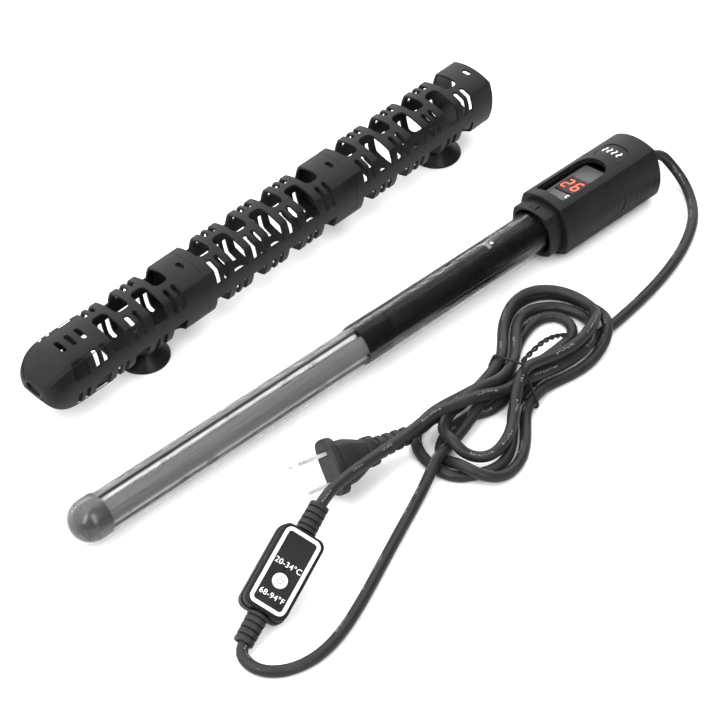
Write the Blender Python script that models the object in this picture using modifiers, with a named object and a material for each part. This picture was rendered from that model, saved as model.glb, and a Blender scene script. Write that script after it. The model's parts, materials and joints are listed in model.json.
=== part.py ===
"""Submersible aquarium heater with its slotted guard, cord, in-line controller and plug.

Metres, +Z up.  The set lies on a flat surface at Z = 0: the heater along X with its head at +X,
the guard pulled off and lying beside it at +Y, and the bundled cord at -Y.  The origin is the
middle of the flat facet on the head's underside.
"""
import math

import bpy
import bmesh
import numpy as np
from mathutils import Euler, Matrix, Vector

MM = 0.001
GAP = 0.3 * MM                     # clearance between neighbouring pieces

# Bowed-square cross-sections: half the distance between corners, and how far each side bows out
GUARD_HALF = 11.5 * MM
GUARD_BOW = 2.4 * MM
GUARD_WALL = 1.2 * MM
HEAD_HALF = 12.2 * MM
HEAD_BOW = 3.0 * MM
HEAD_WALL = 2.0 * MM
COLLAR_HALF = 10.0 * MM
COLLAR_BOW = 2.2 * MM
FACE_STEPS = 5                     # flat facets on each bowed side of the head
GUARD_STEPS = 3                    # the same for the guard

# Heater, along its own axis
HEAD_LENGTH = 63.8 * MM
COLLAR_LENGTH = 8.0 * MM
TUBE_RADIUS = 11.0 * MM
TUBE_WALL = 1.2 * MM
TUBE_EXPOSED = 269.6 * MM
HEAD_REAR = HEAD_LENGTH / 2
HEAD_FRONT = -HEAD_LENGTH / 2
COLLAR_FRONT = HEAD_FRONT - COLLAR_LENGTH
TUBE_TIP = COLLAR_FRONT - TUBE_EXPOSED
TUBE_END = HEAD_FRONT + 2.7 * MM   # open end of the glass, inside the head
TUBE_BORE = TUBE_RADIUS - TUBE_WALL
HOLDER_LENGTH = 15.5 * MM
HOLDER_START = COLLAR_FRONT - 110.0 * MM
HOLDER_END = HOLDER_START + HOLDER_LENGTH
BUMPER_LENGTH = 16.5 * MM
CORE_SEAT = 12.5 * MM               # from the tube's tip to the core's lower end
CORE_RADIUS = 8.5 * MM
COIL_RADIUS = 1.5 * MM
COIL_ORBIT = 6.6 * MM              # distance of each coil leg from the tube's axis
FLUTE_RADIUS = 2.1 * MM
FLUTE_ANGLES = (106.0, 16.0, -74.0, -164.0)   # degrees round the axis, from +Y towards +Z

# Display in the head's upper side
WINDOW_FRONT = HEAD_FRONT + 5.1 * MM
WINDOW_LENGTH = 33.3 * MM
WINDOW_HALF = 8.7 * MM
WINDOW_ROUND = 7.0 * MM
DISPLAY_SIZE = 12.0 * MM
DISPLAY_X = HEAD_FRONT + 20.5 * MM
LABEL_RECESS_X = HEAD_REAR - 17.0 * MM

# Guard, along its own axis, measured from its open mouth at 0
SECTION_LENGTH = 94.4 * MM
GUARD_LENGTH = 281.0 * MM
DOME_LENGTH = 17.0 * MM
BLOCK_LENGTH = 11.7 * MM           # plain band at the head end of each section
CELL_PITCH = 11.35 * MM
CELLS = 7
BIG_WINDOW = 8.0 * MM
BIG_OVERRUN = 2.5 * MM             # how far a big window runs past the middle of the face
SLOT_WIDTH = 2.4 * MM
SLOT_SPACING = 4.5 * MM
SLOT_START = 5.8 * MM              # from the middle of the face
WINDOW_DROP = 4.0 * MM             # height above mid-side where a window stops
SPIGOT_LENGTH = 10.0 * MM
SPIGOT_WALL = 1.1 * MM
LATCH_OFFSET = 4.4 * MM
GUARD_MOUTH = (4.3 * MM, 82.7 * MM)
GUARD_YAW = math.radians(3.5)
CUP_HEIGHT = 10.3 * MM
CUP_RADIUS = 12.3 * MM
CUP_NECK = 2.5 * MM
CUP_CLEARANCE = 7.5 * MM           # windows near a cup start this far from the middle
DOME_STRIP_LENGTH = 35.0 * MM      # plain strip that runs over the dome, from the tip
DOME_STRIP_HALF = 9.6 * MM
DOME_SLOTS = (17.3 * MM, 23.0 * MM, 28.7 * MM)
CUP_PLACES = (-24.9 * MM, -218.2 * MM)

# In-line controller and plug
CONTROLLER_PLACE = (-260.5 * MM, -80.5 * MM, 20.3 * MM)
CONTROLLER_TURN = (math.radians(29.0), math.radians(-18.0), math.radians(18.5))
CONTROLLER_SIZE = (38.0 * MM, 19.5 * MM)
SHELL_HEIGHT = 5.6 * MM            # height of each of the two shells
SHELL_WALL = 1.5 * MM
LABEL_SIZE = (35.2 * MM, 16.4 * MM)
BUTTON_RADIUS = 3.3 * MM
BUTTON_X = -4.6 * MM
BUTTON_TRAVEL = 0.8 * MM
BOOT_LENGTH = 13.0 * MM
PLUG_PLACE = (-206.6 * MM, -46.8 * MM, 13.8 * MM)
PLUG_TURN = (math.radians(42.0), math.radians(5.0), math.radians(-9.0))
PLUG_LENGTH = 40.0 * MM
BLADE_LENGTH = 16.5 * MM
BLADE_WIDTH = 6.35 * MM
BLADE_THICKNESS = 1.5 * MM
BLADE_SPACING = 12.7 * MM

# Cord and bundle
CORD_RADIUS = 2.5 * MM
CORD_STEP = 3.0 * MM              # spacing of the points that the cords are laid out with
CORD_SKIP = 2                      # only every second one is kept for the mesh
PLUG_CORD_HELD = 33                # points of the stretch that passes over the plug, laid by hand
TIE_PLACE = (-108.0 * MM, -59.0 * MM)
TIE_WIRE = 0.6 * MM
BUNDLE_HALF = 25.0 * MM            # cord further than this from the tie is not tied in
TAIL_LENGTH = 26.0 * MM
TAIL_RISE = 5.0 * MM
LAYER_HEIGHTS = (4.2 * MM, 8.8 * MM, 13.4 * MM)

PARTS = bpy.data.collections.new("aquarium_heater")
CUTTERS = bpy.data.collections.new("cutters")
MATERIALS = {}


# ---------------------------------------------------------------- scene and materials

def clear_scene():
    for obj in list(bpy.data.objects):
        bpy.data.objects.remove(obj, do_unlink=True)
    bpy.context.scene.collection.children.link(PARTS)
    bpy.context.scene.collection.children.link(CUTTERS)


def make_material(name, colour, roughness, metallic=0.0, alpha=1.0):
    material = bpy.data.materials.new(name)
    material.use_nodes = True
    shader = material.node_tree.nodes["Principled BSDF"]
    shader.inputs["Base Color"].default_value = (*colour, 1.0)
    shader.inputs["Roughness"].default_value = roughness
    shader.inputs["Metallic"].default_value = metallic
    shader.inputs["Alpha"].default_value = alpha
    MATERIALS[name] = material


def make_materials():
    make_material("guard_plastic", (0.035, 0.035, 0.037), 0.42)
    make_material("head_plastic", (0.030, 0.030, 0.032), 0.48)
    make_material("cup_rubber", (0.028, 0.028, 0.030), 0.55)
    make_material("clear_glass", (0.95, 0.97, 0.97), 0.03, alpha=0.3)
    make_material("grey_silicone", (0.12, 0.12, 0.12), 0.5)
    make_material("grey_ceramic", (0.28, 0.28, 0.28), 0.7)
    make_material("coil_wire", (0.75, 0.75, 0.75), 0.3, metallic=1.0)
    make_material("black_sleeve", (0.015, 0.015, 0.016), 0.2)
    make_material("window_plastic", (0.8, 0.8, 0.82), 0.05, alpha=0.3)
    make_material("display_red", (0.5, 0.01, 0.01), 0.3)
    make_material("mask_grey", (0.45, 0.45, 0.45), 0.4)
    make_material("board_green", (0.02, 0.12, 0.05), 0.5)
    make_material("component_blue", (0.03, 0.06, 0.2), 0.5)
    make_material("cord_vinyl", (0.030, 0.030, 0.032), 0.5)
    make_material("label_print", (0.02, 0.02, 0.02), 0.35)
    make_material("button_white", (0.8, 0.8, 0.8), 0.4)
    make_material("blade_nickel", (0.72, 0.72, 0.70), 0.25, metallic=1.0)
    make_material("tie_black", (0.02, 0.02, 0.02), 0.4)


# ---------------------------------------------------------------- modelling helpers

def finish(obj, material=None, parent=None, location=(0, 0, 0), rotation=(0, 0, 0)):
    """Give an object its material and its place under its parent."""
    if material:
        obj.data.materials.clear()
        obj.data.materials.append(MATERIALS[material])
    obj.location = location
    obj.rotation_euler = rotation
    obj.parent = parent
    return obj


def add_mesh(name, bm, collection=None):
    bmesh.ops.recalc_face_normals(bm, faces=bm.faces)
    mesh = bpy.data.meshes.new(name)
    bm.to_mesh(mesh)
    bm.free()
    obj = bpy.data.objects.new(name, mesh)
    (collection or PARTS).objects.link(obj)
    return obj


def smooth(obj, degrees=35):
    obj.data.shade_smooth()
    obj.data.set_sharp_from_angle(angle=math.radians(degrees))
    return obj


def add_empty(name, location, rotation=(0, 0, 0), parent=None):
    empty = bpy.data.objects.new(name, None)
    PARTS.objects.link(empty)
    empty.location = location
    empty.rotation_euler = rotation
    empty.parent = parent
    return empty


def add_box(bm, size, centre):
    matrix = Matrix.Translation(centre) @ Matrix.Diagonal((*size, 1.0))
    bmesh.ops.create_cube(bm, size=1.0, matrix=matrix)


def add_cylinder(bm, radius, length, matrix, segments):
    bmesh.ops.create_cone(bm, cap_ends=True, segments=segments, radius1=radius, radius2=radius,
                          depth=length, matrix=matrix)


def box(name, size, centre, bevel=0.0):
    bm = bmesh.new()
    add_box(bm, size, centre)
    if bevel:
        bmesh.ops.bevel(bm, geom=bm.edges[:], offset=bevel, segments=2, affect='EDGES')
    return add_mesh(name, bm)


def turned(name, profile, steps=24):
    """Solid of revolution about local Z; profile is (radius, height), top to bottom outside."""
    mesh = bpy.data.meshes.new(name)
    points = [(radius, 0.0, height) for radius, height in profile]
    edges = [(i, i + 1) for i in range(len(points) - 1)]
    mesh.from_pydata(points, edges, [])
    obj = bpy.data.objects.new(name, mesh)
    PARTS.objects.link(obj)
    screw = obj.modifiers.new("turn", 'SCREW')
    screw.steps = steps
    screw.render_steps = steps
    screw.use_merge_vertices = True
    screw.merge_threshold = 0.00005
    screw.use_smooth_shade = True
    return obj


def ring_profile(outer, inner, low, high):
    return [(outer, high), (outer, low), (inner, low), (inner, high), (outer, high)]


def loft(name, stations, loop=False, collection=None):
    """Skin through rings of equal point count; stations are (x, [(y, z), ...])."""
    bm = bmesh.new()
    rings = [[bm.verts.new((x, y, z)) for y, z in ring] for x, ring in stations]
    count = len(rings[0])
    pairs = list(zip(rings, rings[1:]))
    if loop:
        pairs.append((rings[-1], rings[0]))
    for first, second in pairs:
        for i in range(count):
            j = (i + 1) % count
            bm.faces.new((first[i], first[j], second[j], second[i]))
    if not loop:
        bm.faces.new(rings[0])
        bm.faces.new(rings[-1])
    return add_mesh(name, bm, collection)


def bowed_square(half, bow, inset=0.0, steps=FACE_STEPS):
    """Four equal arcs between corners at (+-half, +-half), moved inwards by inset."""
    radius = (half * half + bow * bow) / (2 * bow)
    depth = radius - half - bow                # the arc's centre lies this far past the axis
    radius -= inset
    corner = (math.sqrt(2 * radius * radius - depth * depth) - depth) / 2
    reach = math.asin(corner / radius)
    points = []
    for side in range(4):
        turn = side * math.pi / 2
        for step in range(steps):
            angle = -reach + 2 * reach * step / steps
            across = radius * math.sin(angle)
            out = radius * math.cos(angle) - depth
            points.append((out * math.cos(turn) - across * math.sin(turn),
                           out * math.sin(turn) + across * math.cos(turn)))
    return points


def circle_ring(radius, count=4 * FACE_STEPS):
    turns = [2 * math.pi * i / count - math.pi / 4 for i in range(count)]
    return [(radius * math.cos(t), radius * math.sin(t)) for t in turns]


def rounded_rectangle(length, width, radius, steps=4):
    points = []
    for sx, sy, start in ((1, 1, 0), (-1, 1, 90), (-1, -1, 180), (1, -1, 270)):
        for step in range(steps + 1):
            angle = math.radians(start + 90 * step / steps)
            points.append((sx * (length / 2 - radius) + radius * math.cos(angle),
                           sy * (width / 2 - radius) + radius * math.sin(angle)))
    return points


def as_mesh(curve_object, collection=None):
    """Replace a curve by the mesh that it evaluates to, with its caps welded on."""
    depsgraph = bpy.context.evaluated_depsgraph_get()
    mesh = bpy.data.meshes.new_from_object(curve_object.evaluated_get(depsgraph))
    bm = bmesh.new()
    bm.from_mesh(mesh)
    bmesh.ops.remove_doubles(bm, verts=bm.verts, dist=0.000001)
    bmesh.ops.recalc_face_normals(bm, faces=bm.faces)
    bm.to_mesh(mesh)
    bm.free()
    name = curve_object.name
    matrix = curve_object.matrix_world.copy()
    bpy.data.objects.remove(curve_object, do_unlink=True)
    obj = bpy.data.objects.new(name, mesh)
    mesh.name = name
    obj.matrix_world = matrix
    (collection or PARTS).objects.link(obj)
    return obj


def new_curve(name, points, closed, flat):
    curve = bpy.data.curves.new(name, 'CURVE')
    curve.dimensions = '2D' if flat else '3D'
    spline = curve.splines.new('POLY')
    spline.points.add(len(points) - 1)
    for target, point in zip(spline.points, points):
        target.co = (point[0], point[1], 0.0 if flat else point[2], 1.0)
    spline.use_cyclic_u = closed
    obj = bpy.data.objects.new(name, curve)
    PARTS.objects.link(obj)
    return obj


def plate(name, outline, low, high, collection=None):
    """Flat outline in XY, as thick as from low to high."""
    obj = new_curve(name, outline, closed=True, flat=True)
    obj.data.fill_mode = 'BOTH'
    obj.data.extrude = (high - low) / 2
    obj.location = (0, 0, (low + high) / 2)
    bpy.context.view_layer.update()
    obj = as_mesh(obj, collection)
    obj.data.transform(obj.matrix_world)
    obj.matrix_world = Matrix.Identity(4)
    return obj


def wire(name, points, radius, resolution=2, collection=None):
    obj = new_curve(name, points, closed=False, flat=False)
    obj.data.bevel_depth = radius
    obj.data.bevel_resolution = resolution
    obj.data.use_fill_caps = True
    bpy.context.view_layer.update()
    return smooth(as_mesh(obj, collection), 50)


def cut(obj, cutter, name="cut"):
    """Subtract cutter, which is hidden from renders and follows the same parent."""
    for collection in list(cutter.users_collection):
        collection.objects.unlink(cutter)
    CUTTERS.objects.link(cutter)
    cutter.hide_render = True
    cutter.display_type = 'WIRE'
    modifier = obj.modifiers.new(name, 'BOOLEAN')
    modifier.operation = 'DIFFERENCE'
    modifier.solver = 'EXACT'
    modifier.object = cutter
    return obj


# ---------------------------------------------------------------- guard

def window_cells(flipped):
    """Middle of each cell from the section's head end, and whether it is a big window."""
    start = BLOCK_LENGTH + CELL_PITCH / 2
    return [(-(start + i * CELL_PITCH), (i % 2 == 0) == flipped) for i in range(CELLS)]


def window_start(x, big, near_cup):
    """How far from the middle of the face a window begins."""
    if x < DOME_STRIP_LENGTH - GUARD_LENGTH:
        return DOME_STRIP_HALF
    start = -BIG_OVERRUN if big else SLOT_START
    return max(start, CUP_CLEARANCE) if near_cup else start


def corner_boxes(bm, x, big, side, level, inner):
    """Cut one cell out of the corner on the given side (+-Y) and level (+-Z)."""
    reach = 20 * MM                        # well outside the guard
    cuts = [(x, BIG_WINDOW)]
    if not big:
        cuts = [(x - SLOT_SPACING / 2, SLOT_WIDTH), (x + SLOT_SPACING / 2, SLOT_WIDTH)]
    for middle, width in cuts:
        size = (width, reach - inner, reach - WINDOW_DROP)
        centre = (middle, side * (reach + inner) / 2, level * (reach + WINDOW_DROP) / 2)
        add_box(bm, size, centre)


def guard_windows(name, section_start, cells, cup_x):
    bm = bmesh.new()
    for side in (-1, 1):
        for level in (-1, 1):
            flipped = side * level > 0
            for x, big in window_cells(flipped)[:cells]:
                place = section_start + x
                near_cup = level < 0 and cup_x is not None and abs(place - cup_x) < CUP_RADIUS
                inner = window_start(place, big, near_cup)
                corner_boxes(bm, place, big, side, level, inner)
    latch_x = section_start - LATCH_OFFSET
    add_box(bm, (2.4 * MM, 4.6 * MM, 6 * MM), (latch_x, 0, GUARD_HALF + GUARD_BOW))
    return add_mesh(name, bm, CUTTERS)


def guard_ring(inset=0.0):
    return bowed_square(GUARD_HALF, GUARD_BOW, inset, GUARD_STEPS)


def cup_hole(name, x):
    bm = bmesh.new()
    matrix = Matrix.Translation((x, 0, -GUARD_HALF - GUARD_BOW))
    add_cylinder(bm, CUP_NECK + GAP, 8 * MM, matrix, 16)
    return add_mesh(name, bm, CUTTERS)


def plug_together_section(name, start, parent, cup_x=None):
    """Open section with a socket at its head end and a spigot at the other."""
    end = start - SECTION_LENGTH
    spigot_outer = GUARD_WALL + GAP
    spigot_inner = spigot_outer + SPIGOT_WALL
    stations = [
        (start, guard_ring()),
        (end, guard_ring()),
        (end, guard_ring(spigot_outer)),
        (end - SPIGOT_LENGTH, guard_ring(spigot_outer)),
        (end - SPIGOT_LENGTH, guard_ring(spigot_inner)),
        (end + 3 * MM, guard_ring(spigot_inner)),
        (end + 3 * MM, guard_ring(GUARD_WALL)),
        (start, guard_ring(GUARD_WALL)),
    ]
    section = smooth(loft(name, stations, loop=True), 20)
    finish(section, "guard_plastic", parent)
    windows = finish(guard_windows(name + "_windows", start, CELLS, cup_x), parent=parent)
    cut(section, windows, "windows")
    if cup_x is not None:
        cut(section, finish(cup_hole(name + "_cup_hole", cup_x), parent=parent), "cup_hole")
    return section


def dome_ring(fraction, inset):
    """The dome is round seen from the side, and has only its corners rounded seen from above."""
    height = math.sqrt(1 - fraction ** 2)
    width = (1 - fraction ** 3.5) ** (1 / 3.5)
    return [(y * width, z * height) for y, z in guard_ring(inset)]


def dome_stations(tip, inset):
    start = tip + DOME_LENGTH
    length = DOME_LENGTH - inset
    fractions = [math.sin(math.radians(angle)) for angle in (0, 20, 38, 53, 66, 76)]
    return [(start - length * f, dome_ring(f, inset)) for f in fractions]


def lower_section(parent, cup_x):
    start = -2 * SECTION_LENGTH
    tip = -GUARD_LENGTH
    outer = dome_stations(tip, 0.0)
    inner = dome_stations(tip, GUARD_WALL)
    stations = list(reversed(outer)) + [(start, guard_ring()), (start, guard_ring(GUARD_WALL))]
    section = smooth(loft("guard_lower_section", stations + inner), 25)
    finish(section, "guard_plastic", parent)
    windows = finish(guard_windows("lower_windows", start, CELLS - 1, cup_x), parent=parent)
    cut(section, windows, "windows")
    cut(section, finish(dome_slots(), parent=parent), "dome_slots")
    cut(section, finish(cup_hole("lower_cup_hole", cup_x), parent=parent), "cup_hole")
    return section


def dome_slots():
    bm = bmesh.new()
    for distance in DOME_SLOTS:
        x = distance - GUARD_LENGTH
        add_box(bm, (SLOT_WIDTH, 7.4 * MM, 8 * MM), (x, 0, GUARD_HALF + GUARD_BOW))
    add_box(bm, (12 * MM, 8.4 * MM, 4.2 * MM), (-GUARD_LENGTH, 0, 0))
    return add_mesh("dome_slot_cutters", bm, CUTTERS)


def suction_cup(name, x, parent):
    """Rubber cup: rim on the surface, neck through the guard's wall, button head inside."""
    wall_top = CUP_HEIGHT + GUARD_WALL + GAP
    profile = [
        (0.0, wall_top + 2.0 * MM),
        (3.0 * MM, wall_top + 1.8 * MM),
        (4.0 * MM, wall_top + 1.0 * MM),
        (4.0 * MM, wall_top),
        (CUP_NECK, wall_top),
        (CUP_NECK, CUP_HEIGHT - GAP),
        (4.6 * MM, CUP_HEIGHT - GAP),
        (4.8 * MM, 7.6 * MM),
        (7.0 * MM, 5.6 * MM),
        (10.2 * MM, 3.0 * MM),
        (CUP_RADIUS, 0.9 * MM),
        (CUP_RADIUS, 0.0),
        (CUP_RADIUS - 0.9 * MM, 0.0),
        (9.0 * MM, 1.4 * MM),
        (5.0 * MM, 3.0 * MM),
        (0.0, 3.6 * MM),
    ]
    cup = turned(name, profile, 20)
    height = -(CUP_HEIGHT + GUARD_HALF + GUARD_BOW)
    return finish(cup, "cup_rubber", parent, (x, 0, height))


def build_guard():
    height = CUP_HEIGHT + GUARD_HALF + GUARD_BOW
    frame = add_empty("guard_axis", (*GUARD_MOUTH, height), (0, 0, GUARD_YAW))
    plug_together_section("guard_upper_section", 0.0, frame, CUP_PLACES[0])
    plug_together_section("guard_middle_section", -SECTION_LENGTH, frame)
    lower_section(frame, CUP_PLACES[1])
    suction_cup("suction_cup_upper", CUP_PLACES[0], frame)
    suction_cup("suction_cup_lower", CUP_PLACES[1], frame)


# ---------------------------------------------------------------- heater

TURN_TO_AXIS = (0, math.pi / 2, 0)         # puts a turned piece's Z along the heater's X


def glass_tube(parent):
    def arc(radius, middle, angles):
        return [(radius * math.cos(a), middle - radius * math.sin(a)) for a in angles]
    middle = TUBE_TIP + TUBE_RADIUS
    down = [math.radians(a) for a in (0, 18, 36, 54, 72)]
    outer = arc(TUBE_RADIUS, middle, down) + [(0.0, TUBE_TIP)]
    inner = [(0.0, TUBE_TIP + TUBE_WALL)] + arc(TUBE_BORE, middle, reversed(down))
    profile = inner + [(TUBE_BORE, TUBE_END), (TUBE_RADIUS, TUBE_END)] + outer
    tube = turned("glass_tube", profile)
    return finish(tube, "clear_glass", parent, rotation=TURN_TO_AXIS)


def end_bumper(parent):
    """Silicone cup that fills the tube's round end and holds the core's lower end."""
    radius = TUBE_BORE - GAP
    middle = TUBE_TIP + TUBE_RADIUS
    top = TUBE_TIP + BUMPER_LENGTH
    seat = CORE_RADIUS + GAP
    angles = [math.radians(a) for a in (0, 18, 36, 54, 72)]
    dome = [(radius * math.cos(a), middle - radius * math.sin(a)) for a in angles]
    floor = TUBE_TIP + CORE_SEAT - 3.8 * MM
    profile = [(0.0, floor), (seat, floor), (seat, top), (radius, top)]
    profile += dome + [(0.0, middle - radius)]
    bumper = turned("end_bumper", profile)
    return finish(bumper, "grey_silicone", parent, rotation=TURN_TO_AXIS)


def core_outline():
    """Round rod with four lengthwise flutes that the coil legs lie in."""
    points = []
    opening = math.asin(FLUTE_RADIUS / CORE_RADIUS)
    for middle in sorted(math.radians(a) for a in FLUTE_ANGLES):
        centre = (COIL_ORBIT * math.cos(middle), COIL_ORBIT * math.sin(middle))
        for step in range(5):
            angle = middle + math.radians(270 - 45 * step)
            points.append((centre[0] + FLUTE_RADIUS * math.cos(angle),
                           centre[1] + FLUTE_RADIUS * math.sin(angle)))
        gap = math.pi / 2 - 2 * opening
        for step in range(4):
            angle = middle + opening + gap * step / 3
            points.append((CORE_RADIUS * math.cos(angle), CORE_RADIUS * math.sin(angle)))
    return points


def heater_core(parent):
    outline = core_outline()
    low = TUBE_TIP + CORE_SEAT
    high = HOLDER_END - 2 * MM
    core = smooth(loft("heater_core", [(low, outline), (high, outline)]), 30)
    return finish(core, "grey_ceramic", parent)


def coil_leg_point(x, degrees):
    angle = math.radians(degrees)
    return (x, COIL_ORBIT * math.cos(angle), COIL_ORBIT * math.sin(angle))


def heating_coil(name, first, second, parent):
    """Close-wound coil as one rod: up one flute, over the core's end, back along the next."""
    high = HOLDER_START - 1.0 * MM
    low = TUBE_TIP + CORE_SEAT + 0.5 * MM
    turn = TUBE_TIP + CORE_SEAT - 1.9 * MM
    if second < first:
        first, second = second, first
    middle = (first + second) / 2
    over = math.radians(middle)
    points = [
        coil_leg_point(high, first),
        coil_leg_point(low, first),
        coil_leg_point(turn, first + 12),
        (turn, 5.4 * MM * math.cos(over), 5.4 * MM * math.sin(over)),
        coil_leg_point(turn, second - 12),
        coil_leg_point(low, second),
        coil_leg_point(high, second),
    ]
    return finish(wire(name, points, COIL_RADIUS), "coil_wire", parent)


def tube_contents(parent):
    end_bumper(parent)
    heater_core(parent)
    heating_coil("heating_coil_front", FLUTE_ANGLES[2] + 360, FLUTE_ANGLES[3] + 360, parent)
    heating_coil("heating_coil_rear", FLUTE_ANGLES[1], FLUTE_ANGLES[0], parent)
    holder = turned("element_holder", ring_profile(TUBE_BORE - GAP, CORE_RADIUS + GAP,
                                                   HOLDER_START, HOLDER_END))
    finish(holder, "black_sleeve", parent, rotation=TURN_TO_AXIS)
    sleeve = turned("electronics_sleeve", ring_profile(9.3 * MM, 8.6 * MM, HOLDER_END + GAP,
                                                       TUBE_END - 0.5 * MM))
    finish(sleeve, "black_sleeve", parent, rotation=TURN_TO_AXIS)
    sleeved_parts(parent)


def capsule(name, start, length, radius):
    """Small turned piece with chamfered ends, lying along the tube."""
    end = start + length
    chamfer = radius / 2
    profile = [(0.0, end), (radius, end - chamfer), (radius, start + chamfer), (0.0, start)]
    return turned(name, profile, 12)


def sleeved_parts(parent):
    """Thermal cut-out, sensor bead and the two leads, hidden by the sleeve."""
    cutout = capsule("thermal_cutout", HOLDER_END + 4 * MM, 12 * MM, 2.0 * MM)
    finish(cutout, "blade_nickel", parent, (0, 0, 4.5 * MM), TURN_TO_AXIS)
    sensor = capsule("temperature_sensor", COLLAR_FRONT - 18 * MM, 6 * MM, 1.6 * MM)
    finish(sensor, "button_white", parent, (0, 0, -6.2 * MM), TURN_TO_AXIS)
    for name, side in (("live_lead", -1), ("neutral_lead", 1)):
        offset = side * 3.0 * MM
        points = [(HOLDER_END - 1.4 * MM, offset, -1.0 * MM),
                  (HOLDER_END + 30 * MM, 1.1 * offset, -1.6 * MM),
                  (COLLAR_FRONT - 20 * MM, offset, -1.0 * MM),
                  (HEAD_FRONT + 6.0 * MM, 1.7 * offset, -1.2 * MM)]
        finish(wire(name, points, 0.8 * MM, 1), "cord_vinyl", parent)


def head_housing(parent):
    def head(inset=0.0):
        return bowed_square(HEAD_HALF, HEAD_BOW, inset)
    collar = bowed_square(COLLAR_HALF, COLLAR_BOW)
    bore = circle_ring(TUBE_RADIUS + 0.5 * MM)
    seal_seat = circle_ring(12.6 * MM)
    shoulder = circle_ring(10.6 * MM)
    seal_front = HEAD_FRONT + 0.4 * MM
    seal_rear = HEAD_FRONT + 3.0 * MM
    cavity = HEAD_FRONT + 4.6 * MM
    cap_seat = HEAD_REAR - 4.5 * MM
    stations = [
        (COLLAR_FRONT, collar), (HEAD_FRONT, collar), (HEAD_FRONT, head(0.4 * MM)),
        (HEAD_FRONT + 0.5 * MM, head()), (HEAD_REAR - 1.2 * MM, head()),
        (HEAD_REAR, head(0.9 * MM)), (HEAD_REAR, head(HEAD_WALL)),
        (cap_seat, head(HEAD_WALL)), (cap_seat, head(2.6 * MM)),
        (cavity, head(2.6 * MM)), (cavity, shoulder), (seal_rear, shoulder),
        (seal_rear, seal_seat), (seal_front, seal_seat), (seal_front, bore), (COLLAR_FRONT, bore),
    ]
    housing = smooth(loft("head_housing", stations, loop=True), 20)
    finish(housing, "head_plastic", parent)
    opening = plate("window_opening", window_outline(), 5 * MM, 20 * MM)
    cut(housing, finish(opening, parent=parent), "window_opening")
    panel = plate("label_recess", rounded_rectangle(13 * MM, 15 * MM, 5 * MM, 3),
                  HEAD_HALF + HEAD_BOW - 1.1 * MM, 20 * MM)
    panel.data.transform(Matrix.Translation((LABEL_RECESS_X, 0, 0)))
    cut(housing, finish(panel, parent=parent), "label_recess")
    return housing


def window_outline(margin=0.0):
    """Square at the tube end and rounded at the other."""
    front = WINDOW_FRONT + margin
    rear = WINDOW_FRONT + WINDOW_LENGTH - margin
    half = WINDOW_HALF - margin
    radius = WINDOW_ROUND
    points = [(front, half), (front, -half)]
    for sy, start in ((-1, 270), (1, 0)):
        for step in range(5):
            angle = math.radians(start + 22.5 * step)
            points.append((rear - radius + radius * math.cos(angle),
                           sy * (half - radius) + radius * math.sin(angle)))
    return points


def display(parent):
    pane = plate("display_window", window_outline(GAP), 10.9 * MM, 12.0 * MM)
    finish(pane, "window_plastic", parent)
    box_centre = (DISPLAY_X, 0, 7.9 * MM)
    module = box("display_module", (DISPLAY_SIZE, DISPLAY_SIZE, 5.2 * MM), box_centre, 0.3 * MM)
    finish(module, "display_red", parent)
    middle = WINDOW_FRONT + WINDOW_LENGTH / 2
    mask = box("display_mask", (WINDOW_LENGTH - 2 * MM, 15 * MM, 0.8 * MM), (middle, 0, 9.6 * MM))
    finish(mask, "mask_grey", parent)
    hole = bmesh.new()
    side = DISPLAY_SIZE + 2 * GAP
    add_box(hole, (side, side, 6 * MM), (DISPLAY_X, 0, 9.6 * MM))
    cut(mask, finish(add_mesh("mask_opening", hole, CUTTERS), parent=parent), "mask_opening")
    board = box("display_board", (28 * MM, 15 * MM, 1.2 * MM), (DISPLAY_X + 6 * MM, 0, 4.3 * MM))
    finish(board, "board_green", parent)


def head_contents(parent):
    display(parent)
    profile = ring_profile(12.3 * MM, TUBE_RADIUS + GAP, HEAD_FRONT + 0.7 * MM, TUBE_END)
    seal = turned("tube_seal", profile)
    finish(seal, "grey_silicone", parent, rotation=TURN_TO_AXIS)
    board = box("main_board", (44 * MM, 18 * MM, 1.6 * MM), (2 * MM, 0, -5.6 * MM))
    finish(board, "board_green", parent)
    relay = box("power_relay", (15 * MM, 9 * MM, 7.4 * MM), (12 * MM, 0, -0.8 * MM), 0.4 * MM)
    finish(relay, "component_blue", parent)
    capacitor = turned("filter_capacitor", [(0.0, 2.6 * MM), (3.4 * MM, 2.2 * MM),
                                            (3.4 * MM, -4.4 * MM), (0.0, -4.4 * MM)], 12)
    finish(capacitor, "black_sleeve", parent, (-6 * MM, -2 * MM, 0))
    end_plug(parent)
    outline = rounded_rectangle(12.0 * MM, 14.0 * MM, 4.6 * MM, 3)
    top = HEAD_HALF + HEAD_BOW
    panel = plate("rating_panel", outline, top - 0.8 * MM, top - 0.2 * MM)
    finish(panel, "label_print", parent, (LABEL_RECESS_X, 0, 0))


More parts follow.
